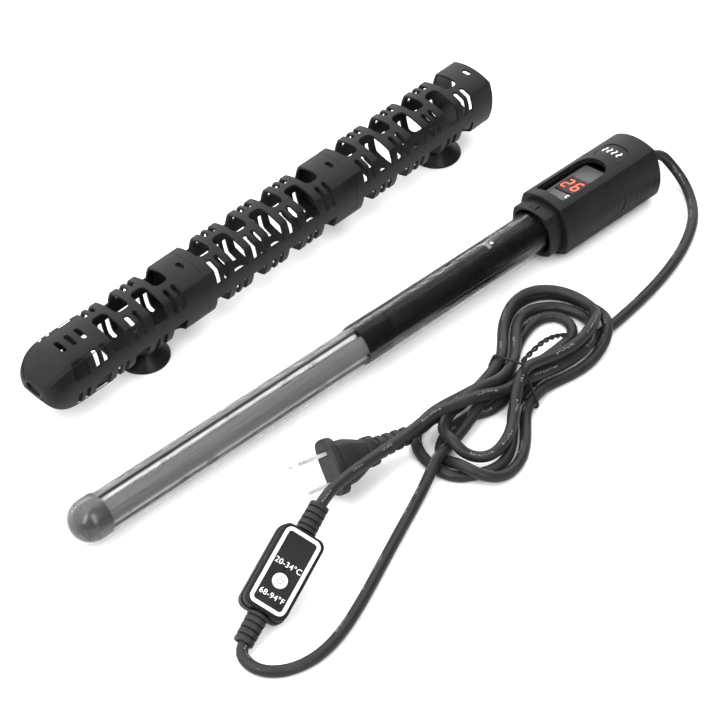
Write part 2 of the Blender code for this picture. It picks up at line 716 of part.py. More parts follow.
def end_plug(parent):
    """Cap glued into the head's rear, with the rubber gland that the cord comes through."""
    inset = HEAD_WALL + GAP
    outline = bowed_square(HEAD_HALF, HEAD_BOW, inset)
    low = HEAD_REAR - 4.2 * MM
    cap = smooth(loft("head_end_plug", [(low, outline), (HEAD_REAR - 0.3 * MM, outline)]), 20)
    finish(cap, "head_plastic", parent)
    bm = bmesh.new()
    matrix = Matrix.Translation((HEAD_REAR, 0, 0)) @ Matrix.Rotation(math.pi / 2, 4, 'Y')
    add_cylinder(bm, 4.7 * MM, 16 * MM, matrix, 20)
    cut(cap, finish(add_mesh("gland_hole", bm, CUTTERS), parent=parent), "gland_hole")
    tip = HEAD_REAR + 4.0 * MM
    flange = HEAD_REAR + 0.9 * MM
    root = low - 1 * MM
    bore = CORD_RADIUS + GAP
    profile = [(4.0 * MM, tip), (4.3 * MM, flange + 0.1 * MM), (5.6 * MM, flange),
               (5.6 * MM, HEAD_REAR), (4.3 * MM, HEAD_REAR), (4.3 * MM, root),
               (bore, root), (bore, tip), (4.0 * MM, tip)]
    gland = turned("cable_gland", profile, 20)
    finish(gland, "cup_rubber", parent, rotation=TURN_TO_AXIS)


def heater_pose():
    """Roll that lays one facet of the head's bowed underside flat, and the axis's place then."""
    radius = (HEAD_HALF ** 2 + HEAD_BOW ** 2) / (2 * HEAD_BOW)
    depth = radius - HEAD_HALF - HEAD_BOW
    pitch = 2 * math.asin(HEAD_HALF / radius) / FACE_STEPS
    facet = radius * math.cos(pitch / 2)
    y = -depth * math.sin(pitch)
    z = facet - depth * math.cos(pitch)
    return (0, y, z), (-pitch, 0, 0)


def build_heater():
    place, roll = heater_pose()
    frame = add_empty("heater_axis", place, roll)
    glass_tube(frame)
    tube_contents(frame)
    head_housing(frame)
    head_contents(frame)


# ---------------------------------------------------------------- in-line controller

def boot_profile(length, root, tip, collar):
    """Ribbed strain relief: grooves cut into a cone, with a rim at the cord's end."""
    ribs = 4
    points = [(tip, length)]
    for i in range(ribs):
        top = length - (length - collar) * i / ribs
        low = length - (length - collar) * (i + 0.62) / ribs
        bottom = length - (length - collar) * (i + 1) / ribs
        radius = tip + (root - tip) * (i + 0.5) / ribs
        groove = radius - 0.9 * MM
        if i:
            points.append((radius, top - 0.05 * MM))
        points += [(radius, low), (groove, low - 0.2 * MM), (groove, bottom + 0.1 * MM)]
    points += [(root, collar), (root, 0.0)]
    bore = CORD_RADIUS + GAP
    return points + [(bore, 0.0), (bore, length), (tip, length)]


def controller_shells(parent):
    length, width = CONTROLLER_SIZE
    inner = (length - 2 * SHELL_WALL, width - 2 * SHELL_WALL)
    upper = plate("controller_upper_shell", rounded_rectangle(length, width, 3.6 * MM),
                  -SHELL_HEIGHT + GAP / 2, 0.0)
    finish(upper, "head_plastic", parent)
    outline = rounded_rectangle(length + 1 * MM, width + 1 * MM, 4.1 * MM)
    bottom = -2 * SHELL_HEIGHT
    lower = plate("controller_lower_shell", outline, bottom, -SHELL_HEIGHT - GAP / 2)
    finish(lower, "head_plastic", parent)
    outline = rounded_rectangle(*inner, 2.4 * MM)
    room = plate("controller_room", outline, bottom + SHELL_WALL, -SHELL_WALL - 0.4 * MM)
    finish(room, parent=parent)
    outline = rounded_rectangle(LABEL_SIZE[0] + 2 * GAP, LABEL_SIZE[1] + 2 * GAP, 2.8 * MM)
    pocket = finish(plate("label_pocket", outline, -0.6 * MM, 4 * MM), parent=parent)
    label = plate("controller_label", rounded_rectangle(*LABEL_SIZE, 2.5 * MM), -0.3 * MM, 0.1 * MM)
    finish(label, "label_print", parent)
    hole = button_hole(parent)
    ports = cord_ports(parent)
    cut(upper, room, "room")
    cut(upper, pocket, "label_pocket")
    cut(upper, hole, "button_hole")
    cut(upper, ports, "cord_ports")
    cut(lower, room, "room")
    cut(lower, ports, "cord_ports")
    cut(label, hole, "button_hole")


def button_hole(parent):
    bm = bmesh.new()
    add_cylinder(bm, BUTTON_RADIUS + GAP, 8 * MM, Matrix.Translation((BUTTON_X, 0, 0)), 24)
    return finish(add_mesh("button_hole", bm, CUTTERS), parent=parent)


def cord_ports(parent):
    bm = bmesh.new()
    turn = Matrix.Rotation(math.pi / 2, 4, 'Y')
    for end in (-1, 1):
        place = Matrix.Translation((end * CONTROLLER_SIZE[0] / 2, 0, -SHELL_HEIGHT))
        add_cylinder(bm, 3.7 * MM, 8 * MM, place @ turn, 16)
    return finish(add_mesh("cord_ports", bm, CUTTERS), parent=parent)


def controller_boots(parent):
    length = CONTROLLER_SIZE[0] / 2 + 0.5 * MM + GAP
    for name, side in (("boot_heater_side", -1), ("boot_plug_side", 1)):
        boot = turned(name, boot_profile(BOOT_LENGTH, 4.6 * MM, 4.25 * MM, 1.4 * MM), 16)
        rotation = (0, side * math.pi / 2, 0)
        finish(boot, "cord_vinyl", parent, (side * length, 0, -SHELL_HEIGHT), rotation)


def build_controller():
    frame = add_empty("controller_frame", CONTROLLER_PLACE, CONTROLLER_TURN)
    controller_shells(frame)
    controller_boots(frame)
    press = add_empty("button_axis", (BUTTON_X, 0, 0), parent=frame)
    profile = [(0.0, 0.7 * MM), (BUTTON_RADIUS - 0.4 * MM, 0.6 * MM), (BUTTON_RADIUS, 0.2 * MM),
               (BUTTON_RADIUS, -2.2 * MM), (1.2 * MM, -2.2 * MM), (1.2 * MM, -3.2 * MM), (0.0, -3.2 * MM)]
    finish(turned("set_button", profile), "button_white", press)
    switch_top = -3.2 * MM - BUTTON_TRAVEL - GAP
    board_top = -7.4 * MM
    height = switch_top - board_top - GAP
    switch = box("tact_switch", (6 * MM, 6 * MM, height), (BUTTON_X, 0, switch_top - height / 2))
    finish(switch, "mask_grey", frame)
    board = box("controller_board", (26 * MM, 14 * MM, 1.2 * MM), (0, 0, board_top - 0.6 * MM))
    finish(board, "board_green", frame)


# ---------------------------------------------------------------- plug

def stadium_ring(width, height, count=20):
    """Rounded outline, wide along Y and high along Z."""
    points = []
    for i in range(count):
        angle = 2 * math.pi * i / count - math.pi / 4
        c, s = math.cos(angle), math.sin(angle)
        points.append((width / 2 * math.copysign(abs(c) ** 0.62, c),
                       height / 2 * math.copysign(abs(s) ** 0.62, s)))
    return points


def plug_body(parent):
    """Flange at X = 0, waisted grip, and a ribbed cone; the cord's bore runs up into it."""
    sizes = [(0.0, 24.0, 15.0), (0.8, 25.2, 16.2), (3.2, 25.2, 16.2), (4.0, 24.0, 15.0),
             (4.4, 20.5, 13.5), (9.0, 19.5, 14.0), (13.0, 16.5, 13.0), (17.0, 13.0, 11.0),
             (18.6, 12.2, 10.6), (19.0, 13.6, 12.0), (22.0, 13.2, 11.6), (22.6, 10.6, 10.0)]
    stations = [(x * MM, stadium_ring(w * MM, h * MM)) for x, w, h in sizes]
    start = 22.8
    rib = (PLUG_LENGTH / MM - start) / 4
    for i in range(4):
        radius = 5.0 - 0.3 * i
        left = start + rib * i
        for x, r in ((left + 0.3, radius - 0.9), (left + 0.38 * rib, radius - 0.9),
                     (left + 0.38 * rib + 0.3, radius), (left + rib, radius)):
            stations.append((x * MM, circle_ring(r * MM)))
    bore = circle_ring(CORD_RADIUS + GAP)
    stations += [(PLUG_LENGTH, bore), (PLUG_LENGTH - 10 * MM, bore)]
    body = smooth(loft("plug_body", stations), 30)
    finish(body, "cord_vinyl", parent)
    bm = bmesh.new()
    for side in (-1, 1):
        size = (12 * MM, BLADE_THICKNESS + 2 * GAP, BLADE_WIDTH + 2 * GAP)
        add_box(bm, size, (0, side * BLADE_SPACING / 2, 0))
    cut(body, finish(add_mesh("blade_slots", bm, CUTTERS), parent=parent), "blade_slots")
    return body


def blade(name, side, parent):
    """Flat pin with a rounded tip; its root sits in the plug's body."""
    root = 5.6 * MM
    radius = 2.4 * MM
    half = BLADE_WIDTH / 2
    tip = -BLADE_LENGTH
    outline = [(root, half), (tip + radius, half)]
    for start in (90, 180):
        sy = 1 if start == 90 else -1
        for step in range(1, 4):
            angle = math.radians(start + 30 * step)
            outline.append((tip + radius + radius * math.cos(angle),
                            sy * (half - radius) + radius * math.sin(angle)))
    outline += [(root, -half)]
    piece = plate(name, outline, -BLADE_THICKNESS / 2, BLADE_THICKNESS / 2)
    place = (0, side * BLADE_SPACING / 2, 0)
    return finish(piece, "blade_nickel", parent, place, (math.pi / 2, 0, 0))


def build_plug():
    frame = add_empty("plug_frame", PLUG_PLACE, PLUG_TURN)
    plug_body(frame)
    blade("plug_blade_left", 1, frame)
    blade("plug_blade_right", -1, frame)


# ---------------------------------------------------------------- cord

def bezier(points, count=14):
    """Points along a cubic Bezier curve, without its first one."""
    a, b, c, d = (np.array(p, float) for p in points)
    result = []
    for i in range(1, count + 1):
        t = i / count
        result.append(a * (1 - t) ** 3 + 3 * b * t * (1 - t) ** 2 + 3 * c * t * t * (1 - t) + d * t ** 3)
    return result


def waist_point(slot):
    """Where a strand passes under the tie: sideways place and layer."""
    across, layer = slot
    return np.array([TIE_PLACE[0], TIE_PLACE[1] + across * MM, LAYER_HEIGHTS[layer]])


def lobe(start, end, heading, reach, width, height):
    """One loop of the bundle, leaving the tie at one slot and coming back to another."""
    first = waist_point(start)
    last = waist_point(end)
    along = np.array([math.cos(math.radians(heading)), math.sin(math.radians(heading)), 0.0])
    left = np.array([-along[1], along[0], 0.0])
    side = math.copysign(1.0, float(np.dot(first - last, left)))
    middle = (first + last) / 2
    middle[2] = height * MM
    out = middle + along * reach * MM * 4 / 3
    spread = left * side * width * MM * 1.73
    straight = along * 7 * MM
    lead_in = [first + straight]
    curve = bezier((first + straight, out + spread, out - spread, last + straight))
    return [first] + lead_in + curve + [last]


def resample(points, step):
    """Points a fixed distance apart along a smoothed path."""
    points = np.array(points, float)
    for _ in range(2):
        quarter = points[:-1] * 0.75 + points[1:] * 0.25
        three = points[:-1] * 0.25 + points[1:] * 0.75
        points = np.vstack([points[:1], np.stack([quarter, three], 1).reshape(-1, 3), points[-1:]])
    lengths = np.linalg.norm(np.diff(points, axis=0), axis=1)
    travel = np.concatenate([[0.0], np.cumsum(lengths)])
    count = CORD_SKIP * max(1, int(round(travel[-1] / step / CORD_SKIP)))
    wanted = np.linspace(0.0, travel[-1], count + 1)
    return np.stack([np.interp(wanted, travel, points[:, k]) for k in range(3)], 1)


def settle(paths, fixed_starts, fixed_ends):
    """Push cord stretches apart until none cross, letting them sink to the surface."""
    spacing = 2 * CORD_RADIUS + 3 * GAP
    joined = np.vstack(paths)
    owner = np.concatenate([np.full(len(p), i) for i, p in enumerate(paths)])
    order = np.concatenate([np.arange(len(p)) for p in paths])
    home = joined.copy()
    skip = int(math.ceil(spacing * 2.2 / CORD_STEP)) + 1
    apart = (owner[:, None] != owner[None, :]) | (abs(order[:, None] - order[None, :]) > skip)
    held = np.zeros(len(joined), bool)
    for i, path in enumerate(paths):
        rows = np.where(owner == i)[0]
        held[rows[:fixed_starts[i]]] = True
        held[rows[-fixed_ends:]] = True
    near_tie = np.exp(-((joined[:, 0] - TIE_PLACE[0]) / (9 * MM)) ** 2)
    near_tie *= abs(joined[:, 1] - TIE_PLACE[1]) < 20 * MM
    floor = CORD_RADIUS + near_tie * (LAYER_HEIGHTS[0] - CORD_RADIUS)
    inner = np.zeros(len(joined), bool)
    for i in range(len(paths)):
        rows = np.where(owner == i)[0]
        inner[rows[1:-1]] = True
    middle_rows = np.where(inner)[0]
    rounds = 300
    for turn in range(rounds):
        free = ~held
        if turn < rounds - 120:
            joined[free, 2] -= 0.05 * MM
            average = (joined[middle_rows - 1] + joined[middle_rows + 1]) / 2
            pull = 0.5 * (average - joined[middle_rows])
            joined[middle_rows] += np.where(free[middle_rows][:, None], pull, 0)
            joined[free, :2] += 0.04 * (home[free, :2] - joined[free, :2])
        for _ in range(2):
            offset = joined[:, None, :] - joined[None, :, :]
            distance = np.linalg.norm(offset, axis=2)
            close = apart & (distance < spacing)
            scale = np.where(close, (spacing - distance) / np.maximum(distance, 1e-6), 0.0)
            push = (offset * scale[:, :, None]).sum(axis=1) * 0.30
            size = np.linalg.norm(push, axis=1)
            limit = 1.2 * MM
            push *= np.minimum(1.0, limit / np.maximum(size, 1e-9))[:, None]
            joined[free] += push[free]
            joined[free, 2] = np.maximum(joined[free, 2], floor[free])
    return [joined[owner == i] for i in range(len(paths))]


def local_points(frame_place, frame_turn, points):
    matrix = Matrix.Translation(frame_place) @ Euler(frame_turn).to_matrix().to_4x4()
    return [np.array(matrix @ Vector(p)) for p in points]


def head_lead():
    place, roll = heater_pose()
    inside = local_points(place, roll, [(HEAD_REAR - 9 * MM, 0, 0), (HEAD_REAR - 3 * MM, 0, 0),
                                        (HEAD_REAR + 4 * MM, 0, 0), (HEAD_REAR + 9 * MM, 0, 0)])
    floor = CORD_RADIUS
    bend = [(49 * MM, -7 * MM, 14 * MM), (50 * MM, -20 * MM, 9 * MM), (38 * MM, -37 * MM, 5 * MM),
            (16 * MM, -49 * MM, floor), (-8 * MM, -56 * MM, floor), (-32 * MM, -60 * MM, floor),
            (-56 * MM, -62 * MM, floor), (-80 * MM, -61 * MM, floor)]
    return inside + [np.array(p) for p in bend]


def controller_cord_end(side):
    """Stretch of cord inside one of the controller's boots, from the inside out."""
    start = CONTROLLER_SIZE[0] / 2
    xs = [start - 5 * MM, start + 2 * MM, start + 8 * MM, start + BOOT_LENGTH + 6 * MM]
    return local_points(CONTROLLER_PLACE, CONTROLLER_TURN, [(side * x, 0, -SHELL_HEIGHT) for x in xs])


def plug_cord_end():
    xs = [PLUG_LENGTH - 9 * MM, PLUG_LENGTH - 5 * MM, PLUG_LENGTH, PLUG_LENGTH + 8 * MM]
    return local_points(PLUG_PLACE, PLUG_TURN, [(x, 0, 0) for x in xs])


def heater_cord_path():
    path = head_lead()
    path += lobe((0.0, 0), (8.1, 0), 197, 60, 43, 2.6)
    path += lobe((8.1, 0), (-8.1, 0), 18, 64, 43, 8.0)
    path += lobe((-8.1, 0), (-2.7, 1), 197, 56, 37, 2.6)
    path += lobe((-2.7, 1), (5.4, 1), 18, 52, 22, 8.0)[:-1]
    path += [waist_point((5.4, 1))]
    sweep = [(-130, -60, 9.0), (-165, -69, 7.5), (-208, -88, 2.6), (-249, -107, 2.5),
             (-270, -113, 2.5), (-288, -109, 2.5), (-297, -99, 3.0)]
    path += [np.array(p) * MM for p in sweep]
    return path + controller_cord_end(-1)[::-1]


def plug_cord_path():
    path = controller_cord_end(1)
    bend = [(-212, -62.5, 25), (-194, -61, 23), (-177, -59.5, 20.5), (-160, -57.5, 19),
            (-145, -55, 17.5)]
    path += [np.array(p) * MM for p in bend]
    path += lobe((-5.4, 1), (2.7, 2), 18, 58, 34, 8.0)
    path += lobe((2.7, 2), (-2.7, 2), 197, 52, 31, 8.0)
    path += lobe((-2.7, 2), (8.0, 1), 18, 61, 39, 13.0)
    path += [np.array(p) * MM for p in ((-133, -53, 10.0), (-150, -52, 9.5))]
    return path + plug_cord_end()[::-1]


def tie_crossings(paths):
    """Where each strand passes under the tie, as (y, z)."""
    x = TIE_PLACE[0]
    crossings = []
    for path in paths:
        for a, b in zip(path, path[1:]):
            in_bundle = abs(a[1] - TIE_PLACE[1]) < BUNDLE_HALF
            if in_bundle and a[0] != b[0] and (a[0] - x) * (b[0] - x) <= 0:
                t = (x - a[0]) / (b[0] - a[0])
                crossings.append((a + (b - a) * t)[1:])
    return np.array(crossings)


def tie_loop(centres):
    """One turn of wire hugging the bundle, its ends a wire's width apart along the bundle."""
    clearance = CORD_RADIUS + TIE_WIRE + 2 * GAP
    lead = 4 * TIE_WIRE
    steps = 36
    loop = []
    for i in range(steps + 1):
        angle = math.radians(92 + 350 * i / steps)
        direction = np.array([math.cos(angle), math.sin(angle)])
        y, z = centres[np.argmax(centres @ direction)] + direction * clearance
        x = TIE_PLACE[0] + (i / steps - 0.5) * lead
        loop.append(np.array((x, y, max(z, TIE_WIRE + 0.05 * MM))))
    return loop


def tie_strand(start, phase):
    """One of the two ends, twisted round the other."""
    radius = TIE_WIRE + 0.25 * MM
    steps = 20
    strand = []
    for i in range(steps + 1):
        t = i / steps
        rise = math.sin(t * math.pi) * TAIL_RISE
        spine = start + np.array([t * TAIL_LENGTH, -0.08 * t * TAIL_LENGTH, rise])
        angle = phase + i * math.radians(75)
        strand.append(spine + radius * np.array([0.0, math.cos(angle), math.sin(angle)]))
    return strand


def twist_tie(paths):
    """Wire round the bundle's waist, its ends twisted together and laid over the loops."""
    loop = tie_loop(tie_crossings(paths))
    start = (loop[0] + loop[-1]) / 2 + np.array([0, 0, 3.2 * MM])
    strands = [tie_strand(start, phase) for phase in (0.0, math.pi)]
    strands.sort(key=lambda strand: np.linalg.norm(strand[0] - loop[0]))
    points = strands[0][::-1] + loop + strands[1]
    return finish(wire("twist_tie", points, TIE_WIRE, 0), "tie_black")


def build_cords():
    rough = [resample(heater_cord_path(), CORD_STEP), resample(plug_cord_path(), CORD_STEP)]
    paths = [path[::CORD_SKIP] for path in settle(rough, (9, PLUG_CORD_HELD), 9)]
    finish(wire("cord_heater", paths[0], CORD_RADIUS), "cord_vinyl")
    finish(wire("cord_plug", paths[1], CORD_RADIUS), "cord_vinyl")
    twist_tie(paths)


def main():
    clear_scene()
    make_materials()
    build_guard()
    build_heater()
    build_controller()
    build_plug()
    build_cords()


main()
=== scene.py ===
"""Looks of the submersible aquarium heater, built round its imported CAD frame.

Everything is in metres and in the CAD's own frame.  Sizes are written as millimetres times MM.
"""

import json
import math
import random

import bmesh
import bpy
import numpy as np
from mathutils import Matrix, Vector

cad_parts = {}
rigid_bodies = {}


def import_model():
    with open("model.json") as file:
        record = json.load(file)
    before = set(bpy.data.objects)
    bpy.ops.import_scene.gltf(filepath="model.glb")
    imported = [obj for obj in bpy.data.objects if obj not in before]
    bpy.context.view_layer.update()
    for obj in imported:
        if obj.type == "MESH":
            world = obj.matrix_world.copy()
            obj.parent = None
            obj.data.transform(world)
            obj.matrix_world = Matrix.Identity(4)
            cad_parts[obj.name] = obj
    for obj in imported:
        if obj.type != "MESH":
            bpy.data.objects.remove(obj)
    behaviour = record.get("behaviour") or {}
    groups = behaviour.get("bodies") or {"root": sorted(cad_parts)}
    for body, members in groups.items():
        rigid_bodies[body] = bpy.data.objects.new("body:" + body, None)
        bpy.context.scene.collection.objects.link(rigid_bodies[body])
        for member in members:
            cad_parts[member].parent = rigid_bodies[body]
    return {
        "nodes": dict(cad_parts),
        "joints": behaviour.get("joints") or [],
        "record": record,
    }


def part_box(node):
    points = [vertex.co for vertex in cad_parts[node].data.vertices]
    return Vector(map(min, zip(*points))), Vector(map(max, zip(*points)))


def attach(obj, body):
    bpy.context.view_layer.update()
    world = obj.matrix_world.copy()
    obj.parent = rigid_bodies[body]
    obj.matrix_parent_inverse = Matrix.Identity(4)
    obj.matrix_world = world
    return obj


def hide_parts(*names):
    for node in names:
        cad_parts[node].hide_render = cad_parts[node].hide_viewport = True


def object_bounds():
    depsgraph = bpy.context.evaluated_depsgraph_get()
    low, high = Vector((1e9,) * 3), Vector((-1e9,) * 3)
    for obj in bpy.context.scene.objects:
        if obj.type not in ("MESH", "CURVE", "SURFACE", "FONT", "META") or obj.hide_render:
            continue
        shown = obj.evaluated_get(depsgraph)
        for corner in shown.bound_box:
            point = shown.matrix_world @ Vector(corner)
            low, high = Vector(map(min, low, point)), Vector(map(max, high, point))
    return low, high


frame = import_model()
CAD_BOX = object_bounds()
NODES = frame["nodes"]
RECORD = frame["record"]
MM = 0.001
UP = Vector((0, 0, 1))

# Sizes that the CAD also uses
GUARD_HALF = 11.5 * MM
GUARD_BOW = 2.4 * MM
GUARD_WALL = 1.2 * MM
SPIGOT_LENGTH = 10.0 * MM
SPIGOT_WALL = 1.1 * MM
GAP = 0.3 * MM
FAR = 20.0 * MM
BLOCK_LENGTH = 11.7 * MM
CELL_PITCH = 11.35 * MM
CELLS = 7
BIG_WINDOW = 8.0 * MM
BIG_OVERRUN = 2.5 * MM
SLOT_WIDTH = 2.4 * MM
SLOT_SPACING = 4.5 * MM
SLOT_START = 5.8 * MM
WINDOW_DROP = 4.0 * MM
LATCH_OFFSET = 4.4 * MM
CUP_RADIUS = 12.3 * MM
CUP_CLEARANCE = 7.5 * MM
CUP_NECK = 2.5 * MM
DOME_LENGTH = 17.0 * MM
DOME_STRIP_LENGTH = 35.0 * MM
DOME_STRIP_HALF = 9.6 * MM
DOME_SLOTS = (17.3 * MM, 23.0 * MM, 28.7 * MM)
HEAD_HALF = 12.2 * MM
HEAD_BOW = 3.0 * MM
HEAD_WALL = 2.0 * MM
HEAD_CAVITY = 2.6 * MM
PANEL_INSET = 0.35 * MM
COLLAR_HALF = 10.0 * MM
COLLAR_BOW = 2.2 * MM
COLLAR_LENGTH = 8.0 * MM
TUBE_RADIUS = 11.0 * MM
CORE_RADIUS = 8.5 * MM
COIL_ORBIT = 6.6 * MM
COIL_RADIUS = 1.5 * MM
COIL_WIRE = 0.20 * MM
COIL_PITCH = 0.74 * MM
FLUTE_RADIUS = 2.1 * MM
FLUTE_ANGLES = (106.0, 16.0, -74.0, -164.0)
SHELL_HEIGHT = 5.6 * MM
CONTROLLER_SIZE = (38.0 * MM, 19.5 * MM)
LABEL_SIZE = (35.2 * MM, 16.4 * MM)
LABEL_CORNER = 3.0 * MM
BUTTON_X = -4.6 * MM
BUTTON_HOLE = 3.6 * MM
LABEL_DEPTH = 0.6 * MM
SHELL_CEILING = 1.9 * MM
BOOT_COLLAR = 1.4 * MM
BOOT_ROOT = 4.5 * MM
BOOT_TIP = 4.2 * MM
BOOT_RIBS = 4
BOOT_SLIT_DEPTH = 1.1 * MM
PLUG_LENGTH = 40.0 * MM
BLADE_SPACING = 12.7 * MM
BLADE_SLOT_HALF = 3.475 * MM
CORD_RADIUS = 2.5 * MM
TIE_WIRE = 0.6 * MM

# Camera: direction it looks from, how far away, and what it looks at
CAMERA_AZIMUTH = math.radians(-42.69)
CAMERA_ELEVATION = math.radians(45.29)
CAMERA_DISTANCE = 1068.3 * MM
CAMERA_TARGET = Vector((-151.0, -5.8, 10.0)) * MM
CAMERA_LENS = 121.2
FLOOR_BOUNCE = 0.5
SKY_FAR = 1.9
SKY_NEAR = 0.06

# Share of the view through a thin clear wall that is not refracted or reflected
STRAIGHT_THROUGH = 0.85


# ---------------------------------------------------------------- measuring the frame

def vertices(name):
    mesh = NODES[name].data
    values = np.empty(len(mesh.vertices) * 3, np.float32)
    mesh.vertices.foreach_get("co", values)
    return np.unique(values.reshape(-1, 3).astype(float).round(7), axis=0)


def extent(name, axis):
    along = vertices(name) @ np.array(axis)
    return float(along.min()), float(along.max())


def extent_in(name, matrix, column=0):
    """Lowest and highest reach of a node along one axis of a group's frame, from its origin."""
    axis = matrix.col[column].xyz
    origin = matrix.translation @ axis
    low, high = extent(name, axis)
    return low - origin, high - origin


def middle(name):
    return Vector(vertices(name).mean(axis=0))


def flat_normal(name):
    """Upward normal of a thin flat node."""
    points = vertices(name)
    normal = Vector(np.linalg.svd(points - points.mean(axis=0))[2][2])
    return normal if normal.z > 0 else -normal


def joint(name):
    return next(j for j in frame["joints"] if j["name"] == name)


def axes_matrix(x, z, origin):
    x = Vector(x).normalized()
    y = Vector(z).cross(x).normalized()
    turn = Matrix((x, y, x.cross(y))).transposed()
    return Matrix.Translation(origin) @ turn.to_4x4()


def heater_frame():
    low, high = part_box("glass_tube")
    centre = (low + high) / 2
    return axes_matrix((1, 0, 0), flat_normal("display_window"), (0, centre.y, centre.z))


def guard_frame():
    """Origin at the middle of the guard's open mouth, X along the guard towards its mouth."""
    x = Vector(joint("guard_slide")["axis"]).normalized()
    y = UP.cross(x)
    low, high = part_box("guard_middle_section")
    across = sum(extent("guard_middle_section", y)) / 2
    origin = x * extent("guard_upper_section", x)[1] + y * across
    origin.z = (low.z + high.z) / 2
    return axes_matrix(x, UP, origin)


def controller_frame():
    """Origin at the middle of the upper shell's top, X towards the plug's cord."""
    press = Vector(joint("set_button_press")["axis"]).normalized()
    heater_side = middle("boot_heater_side")
    plug_side = middle("boot_plug_side")
    origin = (heater_side + plug_side) / 2 - press * SHELL_HEIGHT
    return axes_matrix(plug_side - heater_side, -press, origin)


def plug_frame():
    face = next(m for m in RECORD["mounts"] if m["name"] == "plug_face")
    x = -Vector(face["axis"])
    across = middle("plug_blade_left") - middle("plug_blade_right")
    return axes_matrix(x, x.cross(across), face["pos_m"])


HEATER = heater_frame()
GUARD = guard_frame()
CONTROLLER = controller_frame()
PLUG = plug_frame()
HEAD_FRONT = extent("head_housing", (1, 0, 0))[0] + COLLAR_LENGTH
HEAD_REAR = extent("head_housing", (1, 0, 0))[1]
HEAD_CURVE = (HEAD_HALF ** 2 + HEAD_BOW ** 2) / (2 * HEAD_BOW)
HEAD_TOP = HEAD_HALF + HEAD_BOW
GRIP_X = HEAD_FRONT + 0.36 * (HEAD_REAR - HEAD_FRONT)
PANEL_X = HEAD_REAR - 17 * MM
RIPPLE_START = GRIP_X + 6 * MM
RIPPLE_DEPTH = 0.16 * MM
RIPPLE_SPACING = 0.62 * MM


# ---------------------------------------------------------------- materials

def add_node(material, kind, **values):
    node = material.node_tree.nodes.new(kind)
    for key, value in values.items():
        if key in node.inputs:
            node.inputs[key].default_value = value
        else:
            setattr(node, key, value)
    return node


def link(material, source, target):
    material.node_tree.links.new(source, target)


def noise(material, size, detail=3.0):
    """Noise in object space whose blotches are about size across."""
    place = add_node(material, "ShaderNodeTexCoord")
    texture = add_node(material, "ShaderNodeTexNoise", Scale=1.0 / size, Detail=detail)
    link(material, place.outputs["Object"], texture.inputs["Vector"])
    return texture.outputs["Fac"]


def remap(material, value, low, high):
    node = add_node(material, "ShaderNodeMapRange")
    node.inputs["From Min"].default_value = 0.3
    node.inputs["From Max"].default_value = 0.7
    node.inputs["To Min"].default_value = low
    node.inputs["To Max"].default_value = high
    link(material, value, node.inputs["Value"])
    return node.outputs["Result"]


def tint(material, value, dark, light):
    mix = add_node(material, "ShaderNodeMix", data_type='RGBA')
    mix.inputs[6].default_value = (*dark, 1.0)
    mix.inputs[7].default_value = (*light, 1.0)
    link(material, value, mix.inputs[0])
    return mix.outputs[2]


def surface(name, colour, roughness, grain, bump, spread=0.18, metallic=0.0, coat=0.0, shine=0.5,
            blotch=9 * MM):
    """Opaque surface with fine relief, uneven gloss and slow changes of tone."""
    material = bpy.data.materials.new(name)
    material.use_nodes = True
    shader = material.node_tree.nodes["Principled BSDF"]
    shader.inputs["Metallic"].default_value = metallic
    shader.inputs["Coat Weight"].default_value = coat
    shader.inputs["Specular IOR Level"].default_value = shine
    shader.inputs["Coat Roughness"].default_value = 0.12
    fine = noise(material, grain)
    slow = noise(material, blotch)
    dark = [c * (1 - spread) for c in colour]
    light = [min(1.0, c * (1 + spread)) for c in colour]
    link(material, tint(material, remap(material, slow, 0.0, 1.0), dark, light),
         shader.inputs["Base Color"])
    link(material, remap(material, slow, roughness - 0.05, roughness + 0.06),
         shader.inputs["Roughness"])
    relief = add_node(material, "ShaderNodeBump", Strength=bump, Distance=0.05 * MM)
    link(material, fine, relief.inputs["Height"])
    link(material, relief.outputs["Normal"], shader.inputs["Normal"])
    return material


def clear(name, roughness, tone, ior):
    """Thin clear wall: a share of what is behind it is seen straight, the rest refracted."""
    material = surface(name, (tone, tone, tone), 0.1, 2 * MM, 0.02, spread=0.01)
    shader = material.node_tree.nodes["Principled BSDF"]
    for key in ("Roughness", "Base Color"):
        for wire in list(shader.inputs[key].links):
            material.node_tree.links.remove(wire)
    shader.inputs["Base Color"].default_value = (tone, tone, tone, 1.0)
    link(material, remap(material, noise(material, 20 * MM), roughness, roughness + 0.02),
         shader.inputs["Roughness"])
    shader.inputs["Transmission Weight"].default_value = 1.0
    shader.inputs["IOR"].default_value = ior
    path = add_node(material, "ShaderNodeLightPath")
    through = add_node(material, "ShaderNodeBsdfTransparent")
    mix = add_node(material, "ShaderNodeMixShader")
    output = material.node_tree.nodes["Material Output"]
    share = add_node(material, "ShaderNodeMapRange")
    share.inputs["To Min"].default_value = STRAIGHT_THROUGH
    link(material, path.outputs["Is Shadow Ray"], share.inputs["Value"])
    link(material, share.outputs["Result"], mix.inputs[0])
    link(material, shader.outputs[0], mix.inputs[1])
    link(material, through.outputs[0], mix.inputs[2])
    link(material, mix.outputs[0], output.inputs["Surface"])
    return material


def glowing(name, colour, strength):
    material = surface(name, colour, 0.35, 0.3 * MM, 0.05)
    shader = material.node_tree.nodes["Principled BSDF"]
    shader.inputs["Emission Color"].default_value = (*colour, 1.0)
    link(material, remap(material, noise(material, 1.5 * MM), strength * 0.85, strength),
         shader.inputs["Emission Strength"])
    return material


